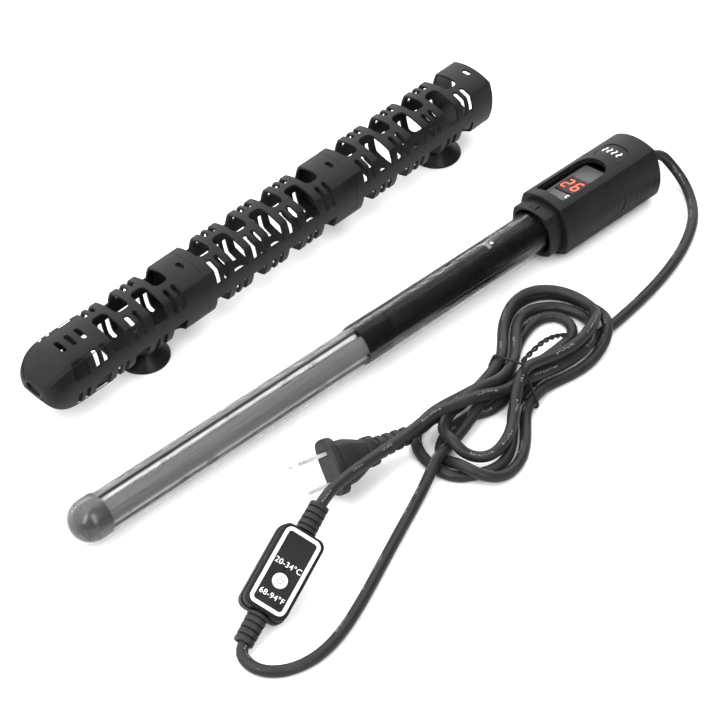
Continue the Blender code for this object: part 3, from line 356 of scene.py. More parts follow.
def ceramic():
    """Core material: light on the outside, with painted shade inside the flutes, faintly streaked
    lengthwise.
    """
    material = surface("grey_ceramic", (0.17, 0.17, 0.17), 0.55, 0.25 * MM, 0.4, spread=0.06, shine=0.3)
    shader = material.node_tree.nodes["Principled BSDF"]
    place = add_node(material, "ShaderNodeTexCoord")
    parts = add_node(material, "ShaderNodeSeparateXYZ")
    across = add_node(material, "ShaderNodeCombineXYZ")
    reach = add_node(material, "ShaderNodeVectorMath", operation='LENGTH')
    link(material, place.outputs["Object"], parts.inputs["Vector"])
    for axis in ("Y", "Z"):
        link(material, parts.outputs[axis], across.inputs[axis])
    link(material, across.outputs["Vector"], reach.inputs[0])
    # Painted shade: wherever the core lies more than 0.05 mm inside its outer radius, as in the flutes,
    # its colour is darkened to stand in for the shadow there.
    depth = add_node(material, "ShaderNodeMapRange")
    depth.inputs["From Min"].default_value = CORE_RADIUS - 0.5 * MM
    depth.inputs["From Max"].default_value = CORE_RADIUS - 0.05 * MM
    link(material, reach.outputs["Value"], depth.inputs["Value"])
    streaks = add_node(material, "ShaderNodeTexNoise", Scale=1.0, Detail=4.0)
    squash = add_node(material, "ShaderNodeMapping")
    squash.inputs["Scale"].default_value = (25.0, 1400.0, 1400.0)
    link(material, place.outputs["Object"], squash.inputs["Vector"])
    link(material, squash.outputs["Vector"], streaks.inputs["Vector"])
    outside = tint(material, remap(material, streaks.outputs["Fac"], 0.0, 1.0),
                   (0.065, 0.065, 0.065), (0.11, 0.11, 0.11))
    # The near-black first colour below is the painted shade in the flutes; the second is the ceramic's own
    # streaked grey.
    mix = add_node(material, "ShaderNodeMix", data_type='RGBA')
    mix.inputs[6].default_value = (0.012, 0.012, 0.012, 1.0)
    link(material, depth.outputs["Result"], mix.inputs[0])
    link(material, outside, mix.inputs[7])
    link(material, mix.outputs[2], shader.inputs["Base Color"])
    return material


def plastic(name, tone, roughness, grain, bump, **options):
    options.setdefault("shine", 0.20)
    return surface(name, (tone, tone, tone * 1.02), roughness, grain, bump, **options)


LOOKS = {
    "guard_plastic": plastic("guard_plastic", 0.011, 0.36, 0.35 * MM, 0.25),
    "head_plastic": plastic("head_plastic", 0.010, 0.42, 0.30 * MM, 0.35),
    "cup_rubber": plastic("cup_rubber", 0.009, 0.34, 0.8 * MM, 0.12),
    "clear_glass": clear("clear_glass", 0.0, 0.98, 1.27),
    "grey_silicone": plastic("grey_silicone", 0.035, 0.28, 0.5 * MM, 0.15, shine=0.5, coat=0.3),
    "grey_ceramic": ceramic(),
    "coil_wire": plastic("coil_wire", 0.85, 0.30, 0.4 * MM, 0.1, metallic=0.8, shine=0.5),
    "black_sleeve": plastic("black_sleeve", 0.004, 0.22, 1.5 * MM, 0.02, shine=0.12),
    "window_plastic": clear("window_plastic", 0.02, 1.0, 1.06),
    "display_red": surface("display_red", (0.010, 0.001, 0.001), 0.3, 0.5 * MM, 0.05, shine=0.3),
    "mask_grey": plastic("mask_grey", 0.055, 0.4, 0.2 * MM, 0.5, spread=0.35, shine=0.4, blotch=0.5 * MM),
    "board_green": surface("board_green", (0.02, 0.10, 0.05), 0.5, 0.4 * MM, 0.3),
    "component_blue": surface("component_blue", (0.03, 0.06, 0.20), 0.4, 0.4 * MM, 0.2),
    "cord_vinyl": plastic("cord_vinyl", 0.016, 0.42, 0.5 * MM, 0.3, shine=0.36),
    "label_print": plastic("label_print", 0.012, 0.30, 0.3 * MM, 0.1),
    "button_white": plastic("button_white", 0.80, 0.35, 0.4 * MM, 0.1, spread=0.03),
    "blade_nickel": surface("blade_nickel", (0.72, 0.71, 0.69), 0.30, 0.15 * MM, 0.3, metallic=0.55),
    "tie_black": plastic("tie_black", 0.012, 0.4, 0.4 * MM, 0.2),
    "white_ink": plastic("white_ink", 0.80, 0.45, 0.3 * MM, 0.15, spread=0.04),
    "grey_ink": plastic("grey_ink", 0.17, 0.5, 0.3 * MM, 0.15, spread=0.5, blotch=0.8 * MM),
    "dark_ink": plastic("dark_ink", 0.05, 0.5, 0.3 * MM, 0.15),
    "digit_glow": glowing("digit_glow", (1.0, 0.09, 0.05), 1.7),
}


# ---------------------------------------------------------------- building pieces

def new_object(name, verts, faces, matrix=Matrix.Identity(4)):
    mesh = bpy.data.meshes.new(name)
    mesh.from_pydata([tuple(v) for v in verts], [], faces)
    bm = bmesh.new()
    bm.from_mesh(mesh)
    bmesh.ops.recalc_face_normals(bm, faces=bm.faces)
    bm.to_mesh(mesh)
    bm.free()
    obj = bpy.data.objects.new(name, mesh)
    bpy.context.scene.collection.objects.link(obj)
    obj.matrix_world = matrix
    return obj


def soften(obj, width, segments=2, angle=35):
    """Round the sharp edges, and shade the rest smooth."""
    obj.data.shade_smooth()
    obj.data.set_sharp_from_angle(angle=math.radians(angle))
    if width:
        bevel = obj.modifiers.new("rounded_edges", 'BEVEL')
        bevel.width = width
        bevel.segments = segments
        bevel.limit_method = 'ANGLE'
        bevel.angle_limit = math.radians(angle)
        bevel.use_clamp_overlap = False
        bevel.harden_normals = True
    return obj


def show(obj, body, look, stands_for=()):
    """Give a piece its material and the body it rides on, and hide the CAD nodes it stands for."""
    obj.data.materials.clear()
    obj.data.materials.append(LOOKS[look])
    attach(obj, body)
    if stands_for:
        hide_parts(*stands_for)
    return obj


def bake(obj):
    """Replace an object's mesh by what its modifiers make of it."""
    depsgraph = bpy.context.evaluated_depsgraph_get()
    mesh = bpy.data.meshes.new_from_object(obj.evaluated_get(depsgraph))
    obj.modifiers.clear()
    obj.data = mesh


def carve(obj, *cutters, operation='DIFFERENCE'):
    for cutter in cutters:
        modifier = obj.modifiers.new("carve", 'BOOLEAN')
        modifier.operation = operation
        modifier.solver = 'EXACT'
        modifier.object = cutter
    bpy.context.view_layer.update()
    bake(obj)
    for cutter in cutters:
        bpy.data.objects.remove(cutter, do_unlink=True)
    bm = bmesh.new()
    bm.from_mesh(obj.data)
    bmesh.ops.remove_doubles(bm, verts=bm.verts, dist=0.02 * MM)
    bmesh.ops.dissolve_degenerate(bm, edges=bm.edges, dist=0.01 * MM)
    bm.to_mesh(obj.data)
    bm.free()
    return obj


def skin_faces(rows, count, loop=False):
    """Faces between neighbouring rings of count points each, and from last to first in a loop."""
    faces = []
    for row in range(rows if loop else rows - 1):
        a = row * count
        b = (row + 1) % rows * count
        for i in range(count):
            j = (i + 1) % count
            faces.append((a + i, a + j, b + j, b + i))
    return faces


def loft(name, stations, matrix, loop=False):
    """Skin through rings of equal point count; stations are (x, [(y, z), ...])."""
    verts = [(x, y, z) for x, ring in stations for y, z in ring]
    count = len(stations[0][1])
    rows = len(stations)
    faces = skin_faces(rows, count, loop)
    if not loop:
        faces.append(tuple(range(count)))
        faces.append(tuple(range((rows - 1) * count, rows * count)))
    return new_object(name, verts, faces, matrix)


def bowed_square(half, bow, inset=0.0, steps=14):
    """Four equal arcs between corners at (+-half, +-half), moved inwards by inset."""
    radius = (half * half + bow * bow) / (2 * bow)
    depth = radius - half - bow
    radius -= inset
    corner = (math.sqrt(2 * radius * radius - depth * depth) - depth) / 2
    reach = math.asin(corner / radius)
    points = []
    for side in range(4):
        turn = side * math.pi / 2
        for step in range(steps):
            angle = -reach + 2 * reach * step / steps
            across = radius * math.sin(angle)
            out = radius * math.cos(angle) - depth
            points.append((out * math.cos(turn) - across * math.sin(turn),
                           out * math.sin(turn) + across * math.cos(turn)))
    return points


def circle(radius, count, start=-math.pi / 4):
    turns = [start + 2 * math.pi * i / count for i in range(count)]
    return [(radius * math.cos(t), radius * math.sin(t)) for t in turns]


def squared_circle(width, height, squareness, count, start):
    """Outline between an ellipse (squareness 1) and a rectangle (squareness 0)."""
    points = []
    for i in range(count):
        angle = 2 * math.pi * i / count + start
        c, s = math.cos(angle), math.sin(angle)
        points.append((width / 2 * math.copysign(abs(c) ** squareness, c),
                       height / 2 * math.copysign(abs(s) ** squareness, s)))
    return points


def rounded_rectangle(length, width, radius, steps=8):
    points = []
    for sx, sy, start in ((1, 1, 0), (-1, 1, 90), (-1, -1, 180), (1, -1, 270)):
        for step in range(steps + 1):
            angle = math.radians(start + 90 * step / steps)
            points.append((sx * (length / 2 - radius) + radius * math.cos(angle),
                           sy * (width / 2 - radius) + radius * math.sin(angle)))
    return points


def prism(outline, low, high):
    """Vertices and faces of an outline in XY, as thick as from low to high."""
    count = len(outline)
    verts = [(x, y, low) for x, y in outline] + [(x, y, high) for x, y in outline]
    faces = [tuple(range(count))[::-1], tuple(range(count, 2 * count))]
    for i in range(count):
        j = (i + 1) % count
        faces.append((i, j, count + j, count + i))
    return verts, faces


def merged(name, shapes, matrix=Matrix.Identity(4)):
    """One object out of many (vertices, faces) shapes."""
    verts = []
    faces = []
    for part_verts, part_faces in shapes:
        start = len(verts)
        verts += [tuple(v) for v in part_verts]
        faces += [tuple(start + i for i in face) for face in part_faces]
    return new_object(name, verts, faces, matrix)


def moved(shape, matrix):
    verts, faces = shape
    return [matrix @ Vector(v) for v in verts], faces


# ---------------------------------------------------------------- sweeps along a line

def resample(points, step):
    """Points a fixed distance apart along a smoothed line."""
    points = np.array([tuple(p) for p in points], float)
    for _ in range(3):
        quarter = points[:-1] * 0.75 + points[1:] * 0.25
        three = points[:-1] * 0.25 + points[1:] * 0.75
        points = np.vstack([points[:1], np.stack([quarter, three], 1).reshape(-1, 3), points[-1:]])
    travel = np.concatenate([[0.0], np.cumsum(np.linalg.norm(np.diff(points, axis=0), axis=1))])
    wanted = np.linspace(0.0, travel[-1], max(2, int(travel[-1] / step)) + 1)
    return np.stack([np.interp(wanted, travel, points[:, k]) for k in range(3)], 1)


def moving_frames(points):
    """Tangents and two sideways directions that turn as little as possible along the line."""
    tangents = np.gradient(points, axis=0)
    tangents /= np.linalg.norm(tangents, axis=1)[:, None]
    helper = np.array([0.0, 0.0, 1.0]) if abs(tangents[0][2]) < 0.9 else np.array([1.0, 0.0, 0.0])
    side = np.cross(tangents[0], helper)
    sides = []
    for tangent in tangents:
        side = side - tangent * (side @ tangent)
        side /= np.linalg.norm(side)
        sides.append(side)
    sides = np.array(sides)
    return tangents, sides, np.cross(tangents, sides)


def tube(points, radius, sides=16):
    """Vertices and faces of a round tube with closed ends along the points."""
    points = np.asarray(points, float)
    _, first, second = moving_frames(points)
    turns = np.linspace(0, 2 * math.pi, sides, endpoint=False)
    radii = np.broadcast_to(radius, len(points))[:, None, None]
    ring = (np.cos(turns)[None, :, None] * first[:, None, :]
            + np.sin(turns)[None, :, None] * second[:, None, :])
    verts = (points[:, None, :] + radii * ring).reshape(-1, 3)
    faces = skin_faces(len(points), sides)
    last = (len(points) - 1) * sides
    faces.append(tuple(range(sides))[::-1])
    faces.append(tuple(range(last, last + sides)))
    return verts, faces


def helix(points, orbit, pitch, turns_per_point=12):
    """Points of a coil wound round a line."""
    line = resample(points, pitch / turns_per_point)
    _, first, second = moving_frames(line)
    phase = np.arange(len(line)) * 2 * math.pi / turns_per_point
    return line + orbit * (np.cos(phase)[:, None] * first + np.sin(phase)[:, None] * second)


def end_ring(bm):
    """The corners of one end of a wire-shaped node."""
    bm.verts.ensure_lookup_table()
    reached = {bm.verts[0]}
    front = [bm.verts[0]]
    while front:
        last = front[0]
        front = [w for v in front for w in (e.other_vert(v) for e in v.link_edges)]
        front = [w for w in dict.fromkeys(front) if w not in reached]
        reached.update(front)
    best = None
    for start in last.link_faces:
        flat = {start}
        queue = [start]
        while queue:
            face = queue.pop()
            for edge in face.edges:
                for other in edge.link_faces:
                    if other not in flat and other.normal.angle(start.normal, 3.0) < 0.01:
                        flat.add(other)
                        queue.append(other)
        corners = list(dict.fromkeys(v for face in flat for v in face.verts))
        size = max((a.co - b.co).length for a in corners for b in corners)
        if best is None or size < best[0]:
            best = (size, corners)
    return best[1]


def centreline(name):
    """Middle of each ring of corners along a wire-shaped node, from one end to the other."""
    bm = bmesh.new()
    bm.from_mesh(NODES[name].data)
    bmesh.ops.remove_doubles(bm, verts=bm.verts, dist=0.001 * MM)
    bm.normal_update()
    ring = end_ring(bm)
    reached = set(ring)
    line = []
    while ring:
        line.append(sum((v.co for v in ring), Vector()) / len(ring))
        ring = [w for v in ring for w in (e.other_vert(v) for e in v.link_edges)]
        ring = [w for w in dict.fromkeys(ring) if w not in reached]
        reached.update(ring)
    bm.free()
    return [tuple(p) for p in line]


# ---------------------------------------------------------------- turned pieces

def chains_of(plane, near):
    """Runs of neighbouring corners that lie in one half-plane."""
    left = sorted(plane, key=lambda v: (len(near[v]) != 1, v.index))
    chains = []
    while left:
        chain = [left[0]]
        while True:
            onward = [w for w in near[chain[-1]] if w not in chain]
            if not onward:
                break
            chain.append(onward[0])
        left = [v for v in left if v not in chain]
        chains.append(chain)
    return chains


def joined_chains(chains, spot):
    """One run out of several, joined where their ends off the axis lie closest."""
    while len(chains) > 1:
        best = None
        for i, first in enumerate(chains):
            for j, second in enumerate(chains):
                if i == j:
                    continue
                for flip in (False, True):
                    a = first[-1]
                    b = second[-1] if flip else second[0]
                    off_axis = min(spot[a].x, spot[b].x) > 0.01 * MM
                    gap = (spot[a] - spot[b]).length
                    if off_axis and (best is None or gap < best[0]):
                        best = (gap, i, j, flip)
        if best is None:
            chains[0].reverse()
            chains[1].reverse()
            continue
        _, i, j, flip = best
        joined = chains[i] + (chains[j][::-1] if flip else chains[j])
        chains = [c for k, c in enumerate(chains) if k not in (i, j)] + [joined]
    return chains[0]


def section_of(name, origin, axis):
    """(radius, distance along the axis) round the section of a turned CAD node."""
    bm = bmesh.new()
    bm.from_mesh(NODES[name].data)
    bmesh.ops.remove_doubles(bm, verts=bm.verts, dist=0.001 * MM)
    place = {}
    for v in bm.verts:
        offset = v.co - origin
        along = offset.dot(axis)
        place[v] = (along, offset - axis * along)
    widest = max((out for _, out in place.values()), key=lambda out: out.length).normalized()
    plane = {v for v, (_, out) in place.items()
             if out.length < 0.01 * MM or out.normalized().dot(widest) > 0.9999}
    near = {v: [e.other_vert(v) for e in v.link_edges if e.other_vert(v) in plane] for v in plane}
    spot = {v: Vector((place[v][1].length, place[v][0])) for v in plane}
    chains = chains_of(plane, near)
    cycle = len(chains) == 1 and chains[0][0] in near[chains[0][-1]]
    section = [tuple(spot[v]) for v in joined_chains(chains, spot)]
    bm.free()
    if cycle:
        return section, True
    first, last = section[0], section[-1]
    if min(first[0], last[0]) > 0.01 * MM and abs(first[1] - last[1]) < 0.01 * MM:
        return section, True
    if first[0] > 0.01 * MM:
        section.insert(0, (0.0, first[1]))
    if last[0] > 0.01 * MM:
        section.append((0.0, last[1]))
    return section, False


def turn_angle(a, b, c):
    first = Vector(b) - Vector(a)
    second = Vector(c) - Vector(b)
    return first.angle(second, 0.0)


def curve_piece(a, b, start, end, count=4):
    """Points from a up to, but not including, b on a curve with the given directions."""
    length = (b - a).length
    points = []
    for i in range(count):
        t = i / count
        points.append(a * (2 * t ** 3 - 3 * t ** 2 + 1) + start * length * (t ** 3 - 2 * t ** 2 + t)
                      + b * (3 * t ** 2 - 2 * t ** 3) + end * length * (t ** 3 - t ** 2))
    return points


def refined(section, closed, rounding, soft=32):
    """Round the section's sharp corners a little, and bend its shallow ones into curves."""
    points = [Vector(p) for p in section]
    count = len(points)
    soft = math.radians(soft)

    def corner(i):
        if not closed and i in (0, count - 1):
            return 'end', None
        before, here, after = points[i - 1], points[i], points[(i + 1) % count]
        angle = turn_angle(before, here, after)
        if angle > soft:
            return 'sharp', None
        first, second = here - before, after - here
        return 'soft', (first + second).normalized()

    kinds = [corner(i) for i in range(count)]
    result = []
    for i in range(count if closed else count - 1):
        j = (i + 1) % count
        a, b = points[i], points[j]
        straight = (b - a).normalized()
        trim = min(rounding, 0.35 * (b - a).length)
        start, end = a, b
        if kinds[i][0] == 'sharp':
            start = a + straight * trim
        if kinds[j][0] == 'sharp':
            end = b - straight * trim
        first = kinds[i][1] or straight
        second = kinds[j][1] or straight
        bent = kinds[i][0] == 'soft' or kinds[j][0] == 'soft'
        result += curve_piece(start, end, first, second, 4 if bent else 1)
        result.append(end)
        if kinds[j][0] == 'sharp':
            onward = points[(j + 1) % count] - b
            leave = b + onward.normalized() * min(rounding, 0.35 * onward.length)
            result.append((end + leave + 2 * b) / 4)
    tidy = [result[0]]
    for point in result[1:]:
        if (point - tidy[-1]).length > 0.01 * MM:
            tidy.append(point)
    if closed and (tidy[0] - tidy[-1]).length < 0.01 * MM:
        tidy.pop()
    return tidy


def respin(name, origin, axis, rounding=0.2 * MM, steps=72, soft=32):
    """Finer copy of a turned CAD node: its own section, rounded and spun in more steps."""
    axis = Vector(axis).normalized()
    section, closed = section_of(name, origin, axis)
    section = refined(section, closed, rounding, soft)
    first = axis.orthogonal().normalized()
    second = axis.cross(first)
    verts = []
    rows = []
    for radius, along in section:
        start = len(verts)
        if radius < 0.01 * MM:
            verts.append(origin + axis * along)
            rows.append([start] * steps)
            continue
        for i in range(steps):
            turn = 2 * math.pi * i / steps
            out = first * math.cos(turn) + second * math.sin(turn)
            verts.append(origin + axis * along + out * radius)
        rows.append([start + i for i in range(steps)])
    faces = []
    pairs = list(zip(rows, rows[1:]))
    if closed:
        pairs.append((rows[-1], rows[0]))
    for a, b in pairs:
        for i in range(steps):
            j = (i + 1) % steps
            face = list(dict.fromkeys((a[i], a[j], b[j], b[i])))
            if len(face) > 2:
                faces.append(face)
    obj = new_object(name + "_fine", verts, faces)
    return soften(obj, 0.0, angle=40)


def respun(names, origin, axis, body, look, **options):
    for name in names:
        show(respin(name, origin, axis, **options), body, look, (name,))


# ---------------------------------------------------------------- guard

def window_outline(x, width, side, inner, radius):
    """Window seen from above: square outside the guard, rounded at its inner end."""
    points = [(x + width / 2, side * FAR), (x - width / 2, side * FAR)]
    for sx, start in ((-1, 180), (1, 270)):
        for step in range(6):
            angle = math.radians(start + 18 * step)
            points.append((x + sx * (width / 2 - radius) + radius * math.cos(angle),
                           side * (inner + radius + radius * math.sin(angle))))
    return points


def window_start(x, big, near_cup, length):
    if x < DOME_STRIP_LENGTH - length:
        return DOME_STRIP_HALF
    start = -BIG_OVERRUN if big else SLOT_START
    return max(start, CUP_CLEARANCE) if near_cup else start


def window_cutters(start, cells, cup_x, length):
    shapes = []
    for side in (-1, 1):
        for level in (-1, 1):
            for i in range(cells):
                x = start - BLOCK_LENGTH - CELL_PITCH * (i + 0.5)
                big = (i % 2 == 0) == (side * level > 0)
                near_cup = level < 0 and cup_x is not None and abs(x - cup_x) < CUP_RADIUS
                inner = window_start(x, big, near_cup, length)
                cuts = [(x, BIG_WINDOW, 2.6 * MM)]
                if not big:
                    cuts = [(x + s * SLOT_SPACING / 2, SLOT_WIDTH, 1.1 * MM) for s in (-1, 1)]
                low, high = sorted((level * WINDOW_DROP, level * FAR))
                for middle_x, width, radius in cuts:
                    outline = window_outline(middle_x, width, side, inner, radius)
                    shapes.append(prism(outline, low, high))
    return shapes


def slot_cutter(x, length, width, height):
    outline = rounded_rectangle(length, width, 0.49 * min(length, width), 5)
    outline = [(x + px, py) for px, py in outline]
    return prism(outline, height - 4 * MM, height + 4 * MM)


def latch_window(start):
    """Opening in the top, near the mouth, that the latch of the next piece snaps into."""
    return slot_cutter(start - LATCH_OFFSET, 2.4 * MM, 4.6 * MM, GUARD_HALF + GUARD_BOW)


def cup_hole(cup_x):
    """Round hole in the underside for the neck of a suction cup."""
    bottom = -GUARD_HALF - GUARD_BOW
    outline = [(cup_x + x, y) for x, y in circle(CUP_NECK + GAP, 24)]
    return prism(outline, bottom - 4 * MM, bottom + 4 * MM)


def guard_ring(inset=0.0):
    return bowed_square(GUARD_HALF, GUARD_BOW, inset)


def guard_body_of(node):
    return next(b for b, nodes in RECORD["behaviour"]["bodies"].items() if node in nodes)


def cup_place(body):
    """Distance of a body's suction cup along the guard from the mouth, or None."""
    for j in frame["joints"]:
        if j["parent"] == body and j.get("continuous"):
            return (GUARD.inverted() @ Vector(j["pos_m"])).x
    return None


def finish_guard_section(section, name, cutters, matrix):
    carve(section, merged(name + "_cutters", cutters, matrix))
    soften(section, 0.22 * MM, 2, 38)
    show(section, guard_body_of(name), "guard_plastic", (name,))


def open_section(name):
    low, start = extent_in(name, GUARD)
    end = low + SPIGOT_LENGTH
    outer = GUARD_WALL + GAP
    inner = outer + SPIGOT_WALL
    stations = [
        (start, guard_ring()), (end, guard_ring()), (end, guard_ring(outer)),
        (low, guard_ring(outer)), (low, guard_ring(inner)), (end + 3 * MM, guard_ring(inner)),
        (end + 3 * MM, guard_ring(GUARD_WALL)), (start, guard_ring(GUARD_WALL)),
    ]
    section = loft(name + "_fine", stations, GUARD, loop=True)
    cup_x = cup_place(guard_body_of(name))
    length = -extent_in("guard_lower_section", GUARD)[0]
    cutters = window_cutters(start, CELLS, cup_x, length)
    cutters.append(latch_window(start))
    if cup_x is not None:
        cutters.append(cup_hole(cup_x))
    finish_guard_section(section, name, cutters, GUARD)


def dome_ring(fraction, inset):
    height = math.sqrt(max(0.0, 1 - fraction ** 2))
    width = (1 - fraction ** 3.5) ** (1 / 3.5)
    return [(y * width, z * height) for y, z in guard_ring(inset)]


def dome_stations(tip, inset):
    start = tip + DOME_LENGTH
    length = DOME_LENGTH - inset
    fractions = [math.sin(math.radians(angle)) for angle in range(0, 80, 4)]
    return [(start - length * f, dome_ring(f, inset)) for f in fractions]


def lower_section():
    name = "guard_lower_section"
    tip, start = extent_in(name, GUARD)
    outer = dome_stations(tip, 0.0)
    inner = dome_stations(tip, GUARD_WALL)
    stations = outer[::-1] + [(start, guard_ring()), (start, guard_ring(GUARD_WALL))] + inner
    section = loft(name + "_fine", stations, GUARD)
    cup_x = cup_place(guard_body_of(name))
    cutters = window_cutters(start, CELLS - 1, cup_x, -tip)
    top = GUARD_HALF + GUARD_BOW
    cutters += [slot_cutter(tip + d, SLOT_WIDTH, 7.4 * MM, top) for d in DOME_SLOTS]
    cutters.append(latch_window(start))
    verts, faces = prism(rounded_rectangle(8.4 * MM, 4.2 * MM, 1.6 * MM, 5), tip - 6 * MM, tip + 6 * MM)
    cutters.append(([(z, x, y) for x, y, z in verts], faces))
    cutters.append(cup_hole(cup_x))
    finish_guard_section(section, name, cutters, GUARD)
    dome_ridges(tip)


def dome_edge(tip, y, z):
    """Line that follows the guard's skin from the strip over the dome, from one ring point."""
    line = [(tip + DOME_STRIP_LENGTH, y, z), (tip + DOME_LENGTH + 8 * MM, y, z)]
    for angle in range(0, 82, 6):
        f = math.sin(math.radians(angle))
        width = (1 - f ** 3.5) ** (1 / 3.5)
        line.append((tip + DOME_LENGTH * (1 - f), y * width, z * math.sqrt(1 - f * f)))
    return line


def dome_ridges(tip):
    """Raised moulded rim along both edges of the dome's top and bottom strips."""
    ring = guard_ring(0.08 * MM)
    corner = min(ring, key=lambda p: abs(abs(p[0]) - abs(p[1])))
    inner = min((p for p in ring if p[1] > GUARD_HALF), key=lambda p: abs(p[0] - 9.4 * MM))
    shapes = []
    for y, z in (corner, inner):
        for side in (-1, 1):
            for level in (-1, 1):
                line = dome_edge(tip, abs(y) * side, abs(z) * level)
                shapes.append(tube(resample(line, 0.8 * MM), 0.2 * MM, 8))
    ridges = soften(merged("dome_ridges", shapes, GUARD), 0.0, angle=60)
    show(ridges, "guard_lower", "guard_plastic")


def build_guard():
    open_section("guard_upper_section")
    open_section("guard_middle_section")
    lower_section()
    for name, body in (("suction_cup_upper", "cup_upper"), ("suction_cup_lower", "cup_lower")):
        spin = next(j for j in frame["joints"] if j["child"] == body)
        respun([name], Vector(spin["pos_m"]), UP, body, "cup_rubber", rounding=0.3 * MM, soft=45)


# ---------------------------------------------------------------- heater

def on_heater(x, y=0.0, z=0.0):
    return HEATER @ Vector((x, y, z))


def core_outline():
    points = []
    opening = math.asin(FLUTE_RADIUS / CORE_RADIUS)
    for flute in sorted(math.radians(a) for a in FLUTE_ANGLES):
        centre = (COIL_ORBIT * math.cos(flute), COIL_ORBIT * math.sin(flute))
        for step in range(11):
            angle = flute + math.radians(270 - 18 * step)
            points.append((centre[0] + FLUTE_RADIUS * math.cos(angle),
                           centre[1] + FLUTE_RADIUS * math.sin(angle)))
        for step in range(10):
            angle = flute + opening + (math.pi / 2 - 2 * opening) * step / 9
            points.append((CORE_RADIUS * math.cos(angle), CORE_RADIUS * math.sin(angle)))
    return points


def build_tube():
    origin = on_heater(0)
    axis = HEATER.col[0].xyz
    respun(["glass_tube"], origin, axis, "heater", "clear_glass", steps=128, rounding=0.35 * MM)
    respun(["end_bumper", "tube_seal"], origin, axis, "heater", "grey_silicone")
    respun(["element_holder"], origin, axis, "heater", "black_sleeve", rounding=0.4 * MM)
    respun(["electronics_sleeve"], origin, axis, "heater", "black_sleeve", steps=96)
    respun(["cable_gland"], origin, axis, "heater", "cup_rubber")
    low, high = extent("heater_core", (1, 0, 0))
    core = loft("heater_core_fine", [(low, core_outline()), (high, core_outline())], HEATER)
    show(soften(core, 0.15 * MM, angle=30), "heater", "grey_ceramic", ("heater_core",))
    front, rear = FLUTE_ANGLES[2:], FLUTE_ANGLES[:2]
    heating_coil("heating_coil_front", front)
    heating_coil("heating_coil_rear", rear)


def coil_point(x, degrees, orbit=COIL_ORBIT):
    angle = math.radians(degrees)
    return (x, orbit * math.cos(angle), orbit * math.sin(angle))


def heating_coil(name, angles):
    """Wound wire in two of the core's flutes, joined by plain wire over the core's end."""
    low = extent("heater_core", (1, 0, 0))[0] + 0.9 * MM
    high = extent("element_holder", (1, 0, 0))[0] - 1.0 * MM
    turn = low - 2.5 * MM
    first, last = min(angles), max(angles)
    shapes = []
    for degrees in (first, last):
        leg = [coil_point(low + (high - low) * i / 8, degrees) for i in range(9)]
        shapes.append(tube(helix(leg, COIL_RADIUS - COIL_WIRE, COIL_PITCH), COIL_WIRE, 6))
    over = [coil_point(low + 0.5 * MM, first), coil_point(turn, first + 8),
            coil_point(turn - 0.3 * MM, (first + last) / 2, 0.85 * COIL_ORBIT),
            coil_point(turn, last - 8), coil_point(low + 0.5 * MM, last)]
    shapes.append(tube(resample(over, 0.5 * MM), 0.6 * MM, 12))
    coil = soften(merged(name + "_wound", shapes, HEATER), 0.0, angle=80)
    show(coil, "heater", "coil_wire", (name,))


def wrapped(shape, radius, x, degrees):
    """Lay a flat shape (along the tube, round it) on the tube at a place round its axis."""
    verts, faces = shape
    result = []
    for along, round_it, out in verts:
        angle = math.radians(degrees) + round_it / radius
        result.append((x + along, (radius + out) * math.cos(angle), (radius + out) * math.sin(angle)))
    return result, faces


def level_mark():
    """Generic fill-level sign on the glass: a triangle over two wavy lines."""
    ink = 0.04 * MM
    shapes = [prism([(0.9 * MM, -1.0 * MM), (0.9 * MM, 1.0 * MM), (-0.7 * MM, 0.0)], 0.0, ink)]
    for row in (1.5, 2.5):
        wave = [(-(row + 0.16 * math.sin(i * 1.3)) * MM, (-1.9 + 0.15 * i) * MM) for i in range(26)]
        back = [(x - 0.22 * MM, y) for x, y in wave[::-1]]
        shapes.append(prism(wave + back, 0.0, ink))
    marks = [wrapped(s, TUBE_RADIUS + 0.01 * MM, HEAD_FRONT - 36 * MM, 106) for s in shapes]
    show(merged("fill_level_mark", marks, HEATER), "heater", "white_ink")


def head_profile(x):
    """Ring of the head's outside, with shallow ripples towards the rear of both sides."""
    ring = []
    for y, z in bowed_square(HEAD_HALF, HEAD_BOW, 0.0, 24):
        distance = math.hypot(x - GRIP_X, z * 1.1)
        on_side = abs(y) > HEAD_HALF * 0.98
        if on_side and x > RIPPLE_START:
            fade = min(1.0, (HEAD_REAR - x) / (8 * MM), (x - RIPPLE_START) / (8 * MM))
            edge = max(0.0, 1 - (z / (HEAD_HALF * 0.9)) ** 4)
            depth = RIPPLE_DEPTH * fade * edge * (1 + math.cos(distance / RIPPLE_SPACING))
            y -= math.copysign(depth, y) / 2
        ring.append((y, z))
    return ring


